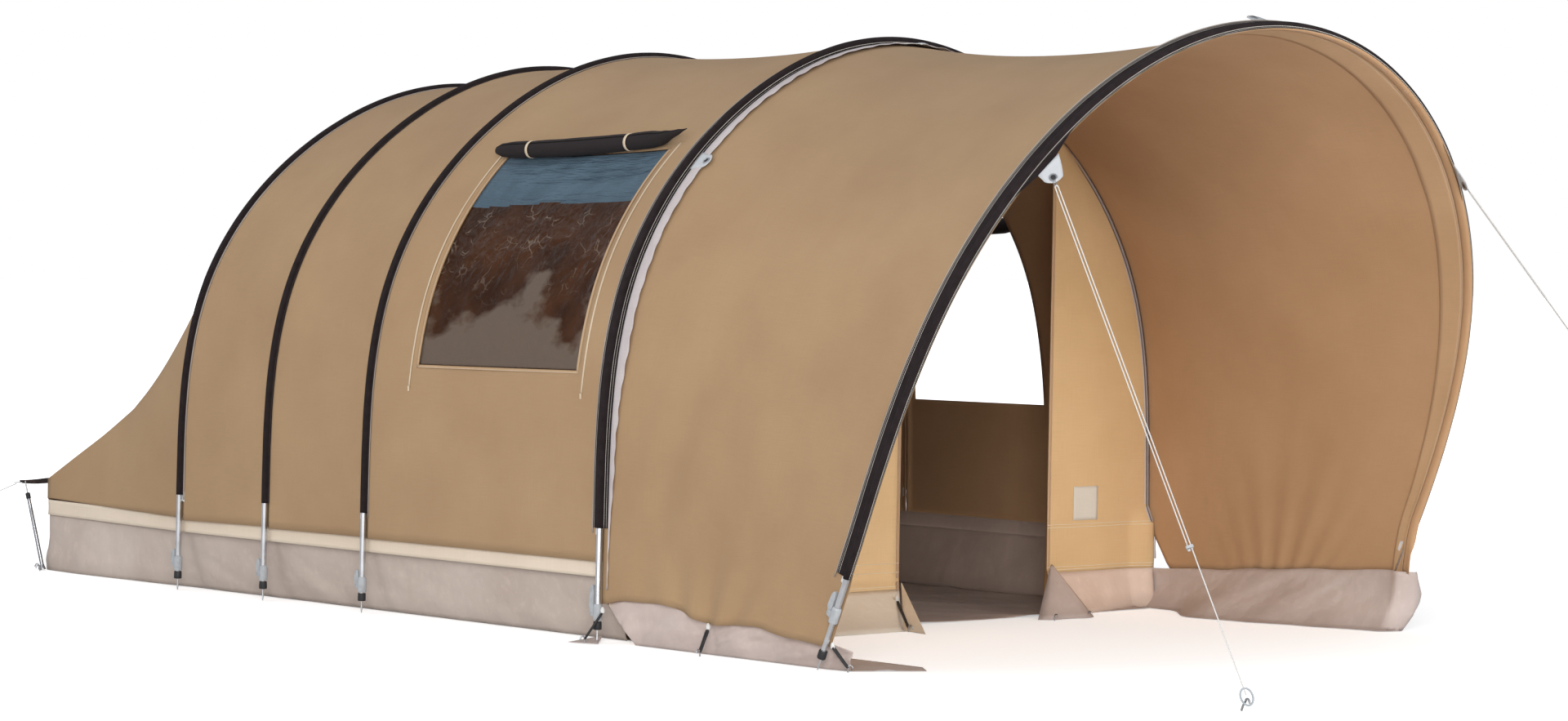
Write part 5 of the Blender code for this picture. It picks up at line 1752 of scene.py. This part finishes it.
def small_peg(name, place, away):
    """A small peg: just its hooked head above the ground."""
    base = Vector((place[0], place[1], 0.0004))
    away = Vector((away[0], away[1], 0.0)).normalized()
    shape = ((0.0, 0.0), (0.0, 0.014), (0.003, 0.024), (0.012, 0.024), (0.018, 0.013))
    path = smooth_line([base + UP * z + away * a for a, z in shape], 4)
    swept(name, path, ring(0.0028, 8), "steel", ups=[UP.cross(away)] * len(path))


def rubber_loop(name, top, bottom, gap):
    """A black rubber ring stretched from a hook down to a peg, as two straps side by side."""
    ahead = (bottom - top).normalized()
    side = ahead.cross(UP)
    side = side.normalized() if side.length > 0.05 else REARWARD
    half = gap / 2
    line = [top + side * 0.001, top + side * half + ahead * 0.008]
    line += [top.lerp(bottom, t) + side * half * (1 - 0.35 * t) for t in (0.3, 0.6, 0.9)]
    line += [bottom]
    line += [top.lerp(bottom, t) - side * half * (1 - 0.35 * t) for t in (0.9, 0.6, 0.3)]
    line += [top - side * half + ahead * 0.008, top - side * 0.001]
    path = smooth_line(line, 4)
    swept(name, path, oblong(0.0022, 0.0034), "rubber", ups=[ahead.cross(side)] * len(path))


def strap_set(name, hook, top, peg_at, away, gap=0.010):
    """A small white hook, the rubber strap on it and the small peg that holds the strap down."""
    frame_at = axes_frame(hook, UP)
    profile = ((0.0030, -0.020), (0.0075, -0.018), (0.0085, -0.008), (0.0060, 0.0), (0.0030, 0.004))
    turned(name % "hook", profile, "pale_plastic", "tent", frame_at, 14)
    rubber_loop(name % "strap", top, peg_at, gap)
    small_peg(name % "peg", peg_at, away)


def straps_and_pegs():
    """Rubber straps from the canopy's edge and the front hoops' feet, each on its small peg."""
    for side, sign in SIDE_SIGN.items():
        y = WALL_Y + (HOOPS[4].y - WALL_Y) * HOOK_SHARE
        hook = Vector((sign * (SKIRT_X + 0.010), y, edge_height(side, HOOK_SHARE)))
        peg_at = Vector((sign * 1.525, y - 0.004, PEG_HEAD))
        strap_set("edge_%s_" + side, hook, hook + Vector((sign * 0.003, 0, -0.020)), peg_at, (sign, 0.0))
        foot = HOOPS[3].points[0 if side == "left" else -1]
        top = Vector((foot.x - sign * 0.002, foot.y - 0.028, 0.128))
        peg_at = Vector((sign * 1.557, foot.y + 0.004, PEG_HEAD))
        strap_set("hoop4_%s_" + side, top + UP * 0.004, top + Vector((sign * 0.004, 0, -0.016)), peg_at,
                  (sign, 0.5), 0.013)
        front = HOOPS[4].y
        top = Vector((sign * 1.486, front - 0.064, 0.088))
        if side == "left":
            peg_at = Vector((-1.462, front - 0.120, PEG_HEAD))
        else:
            peg_at = Vector((1.532, front - 0.040, PEG_HEAD))
        strap_set("front_%s_" + side, top + UP * 0.012, top, peg_at, (-sign, -1.0), 0.014)
    top = on_wall("left", -0.055, 0.107, 0.016)
    peg_at = Vector((-0.205, WALL_Y - 0.330, PEG_HEAD))
    strap_set("wall_%s", top + UP * 0.008, top + Vector((0.0, -0.004, -0.012)), peg_at, (0.3, -1.0), 0.006)


def runners():
    """Runners with their rope holes, knots, and the ring and peg at each guy's foot."""
    for side in SIDE_SIGN:
        edge, along, across, _, top = guy_line(side)
        out = along.cross(across)
        paint("runner_" + side, "grey")
        _, centre = runner_place(edge, along, top)
        coil = []
        for k in range(37):
            angle = 2 * math.pi * 3 * k / 36
            spot = centre + across * (STRAND_GAP / 2 + KNOT_R * math.cos(angle))
            coil.append(spot + along * (0.008 + 0.0065 * k / 36) + out * (KNOT_R * math.sin(angle)))
        swept("guy_knot_" + side, coil, ring(0.0011, 6), "rope", "runner_" + side, [along] * len(coil))
        peg("front_peg_steel_" + side, top, along, "peg_front_" + side)
        centre = top - along * 0.004 - across * (STRAND_GAP / 2)
        loop = []
        for k in range(25):
            angle = 2 * math.pi * k / 24
            loop.append(centre + along * (0.031 * math.cos(angle)) + across * (0.020 * math.sin(angle)))
        swept("guy_ring_" + side, loop, ring(0.0036, 8), "ring", ups=[out] * len(loop), capped=False)


def rear_corners():
    """Props, webbing straps and rings at the rear corners."""
    for side, sign in SIDE_SIGN.items():
        foot = behind_wall(sign * PROP_FOOT[0], PROP_FOOT[1], 0.0)
        top = behind_wall(sign * PROP_TOP[0], PROP_TOP[1], PROP_HEIGHT)
        frame_at = axes_frame(foot, top - foot)
        length = (top - foot).length
        tube = ((0.0055, 0.0035), (0.0135, 0.004), (0.0135, 0.008), (0.0105, 0.018), (0.0088, 0.026),
                (0.0084, 0.028), (0.0084, length - 0.110), (0.0080, length - 0.109), (0.0080, length - 0.056))
        piece = turned("prop_tube_" + side, tube, "prop", "tent", frame_at)
        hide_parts("rear_prop_" + side)
        collar = ((0.0092, -0.060), (0.0104, -0.058), (0.0104, -0.036), (0.0060, -0.033))
        collar = [(radius, length + height) for radius, height in collar]
        turned("prop_collar_" + side, collar, "rubber", "tent", frame_at)
        pin = ((0.0030, length - 0.034), (0.0030, length + 0.018), (0.0012, length + 0.020))
        turned("prop_pin_" + side, pin, "steel", "tent", frame_at, 12)
        start = Vector((sign * (REAR_HALF + 0.004), REAR_Y + 0.006, REAR_TOP - 0.014))
        ring_at = behind_wall(sign * REAR_RING[0], REAR_RING[1], REAR_RING[2])
        along = ring_at - start
        across = UP.cross(along).normalized()
        rows = []
        for t in spread(-0.14, 0.97, 16):
            centre = start + along * t + UP * (0.005 - 0.003 * math.sin(math.pi * t))
            turn = math.radians(-74 + 16 * abs(2 * t - 0.9))
            flat = across * (math.cos(turn) * -sign) + UP * math.sin(turn)
            half = 0.0125 - 0.006 * max(0.0, t)
            rows.append([centre + flat * (half * w) for w in spread(-1.0, 1.0, 5)])
        strap = cloth("rear_webbing_" + side, rows, "strap", thickness=0.0024, inside=(0.0, 2.9, -1.0))
        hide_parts("rear_strap_" + side)
        reach = along.normalized()
        wire = ((-0.010, 0.011), (-0.010, -0.011), (0.022, -0.003), (0.022, 0.003), (-0.010, 0.011))
        path = smooth_line([ring_at + reach * a + across * b for a, b in wire], 4)
        swept("rear_ring_" + side, path, ring(0.0016, 8), "steel", ups=[UP] * len(path), capped=False)
        small_peg("rear_small_peg_" + side, (foot.x + sign * 0.03, foot.y - 0.02), (sign, 0.3))
        small_peg("corner_peg_" + side, (sign * 1.41, REAR_Y + 0.01), (sign, 1.0))
    top = behind_wall(*REAR_PEG, PEG_TOP)
    peg("rear_peg_steel", top, top - behind_wall(-REAR_RING[0], REAR_RING[1], 0.0), "peg_rear")


def paint(node, look):
    """Give a solid that stays in the picture its look."""
    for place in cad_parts[node].material_slots:
        place.material = LOOKS[look]


def metal_nodes():
    """The tubes and legs keep their solids and get their drawn metal finish."""
    for number in range(1, 6):
        paint("arch_tube_%d" % number, "tube")
        for side in SIDE_SIGN:
            paint("leg_%d_%s" % (number, side), "tube")


def sleeves_and_piping():
    for number in range(1, 6):
        sleeve(number)
    for number, (offset, radius) in enumerate(PIPING):
        piping(number + 1, offset, radius)


make_camera()
make_studio()
make_floor()
for each_side in SIDE_SIGN:
    front_guy(each_side)
rear_guy()
roof_bay(1)
roof_bay(2)
window_bay()
windows()
blinds()
canopy_cloth()
canopy_hem()
rear_cloth()
mud_wall()
for each_side in SIDE_SIGN:
    front_wall(each_side)
    mud_flap(each_side)
corner_flaps()
wall_header()
door_roll()
wall_zip()
label()
sleeves_and_piping()
zip_flap()
legs()
sleeve_buckles()
front_tabs()
small_tabs()
straps_and_pegs()
runners()
rear_corners()
metal_nodes()

scene = bpy.context.scene
scene.view_settings.view_transform = "Standard"
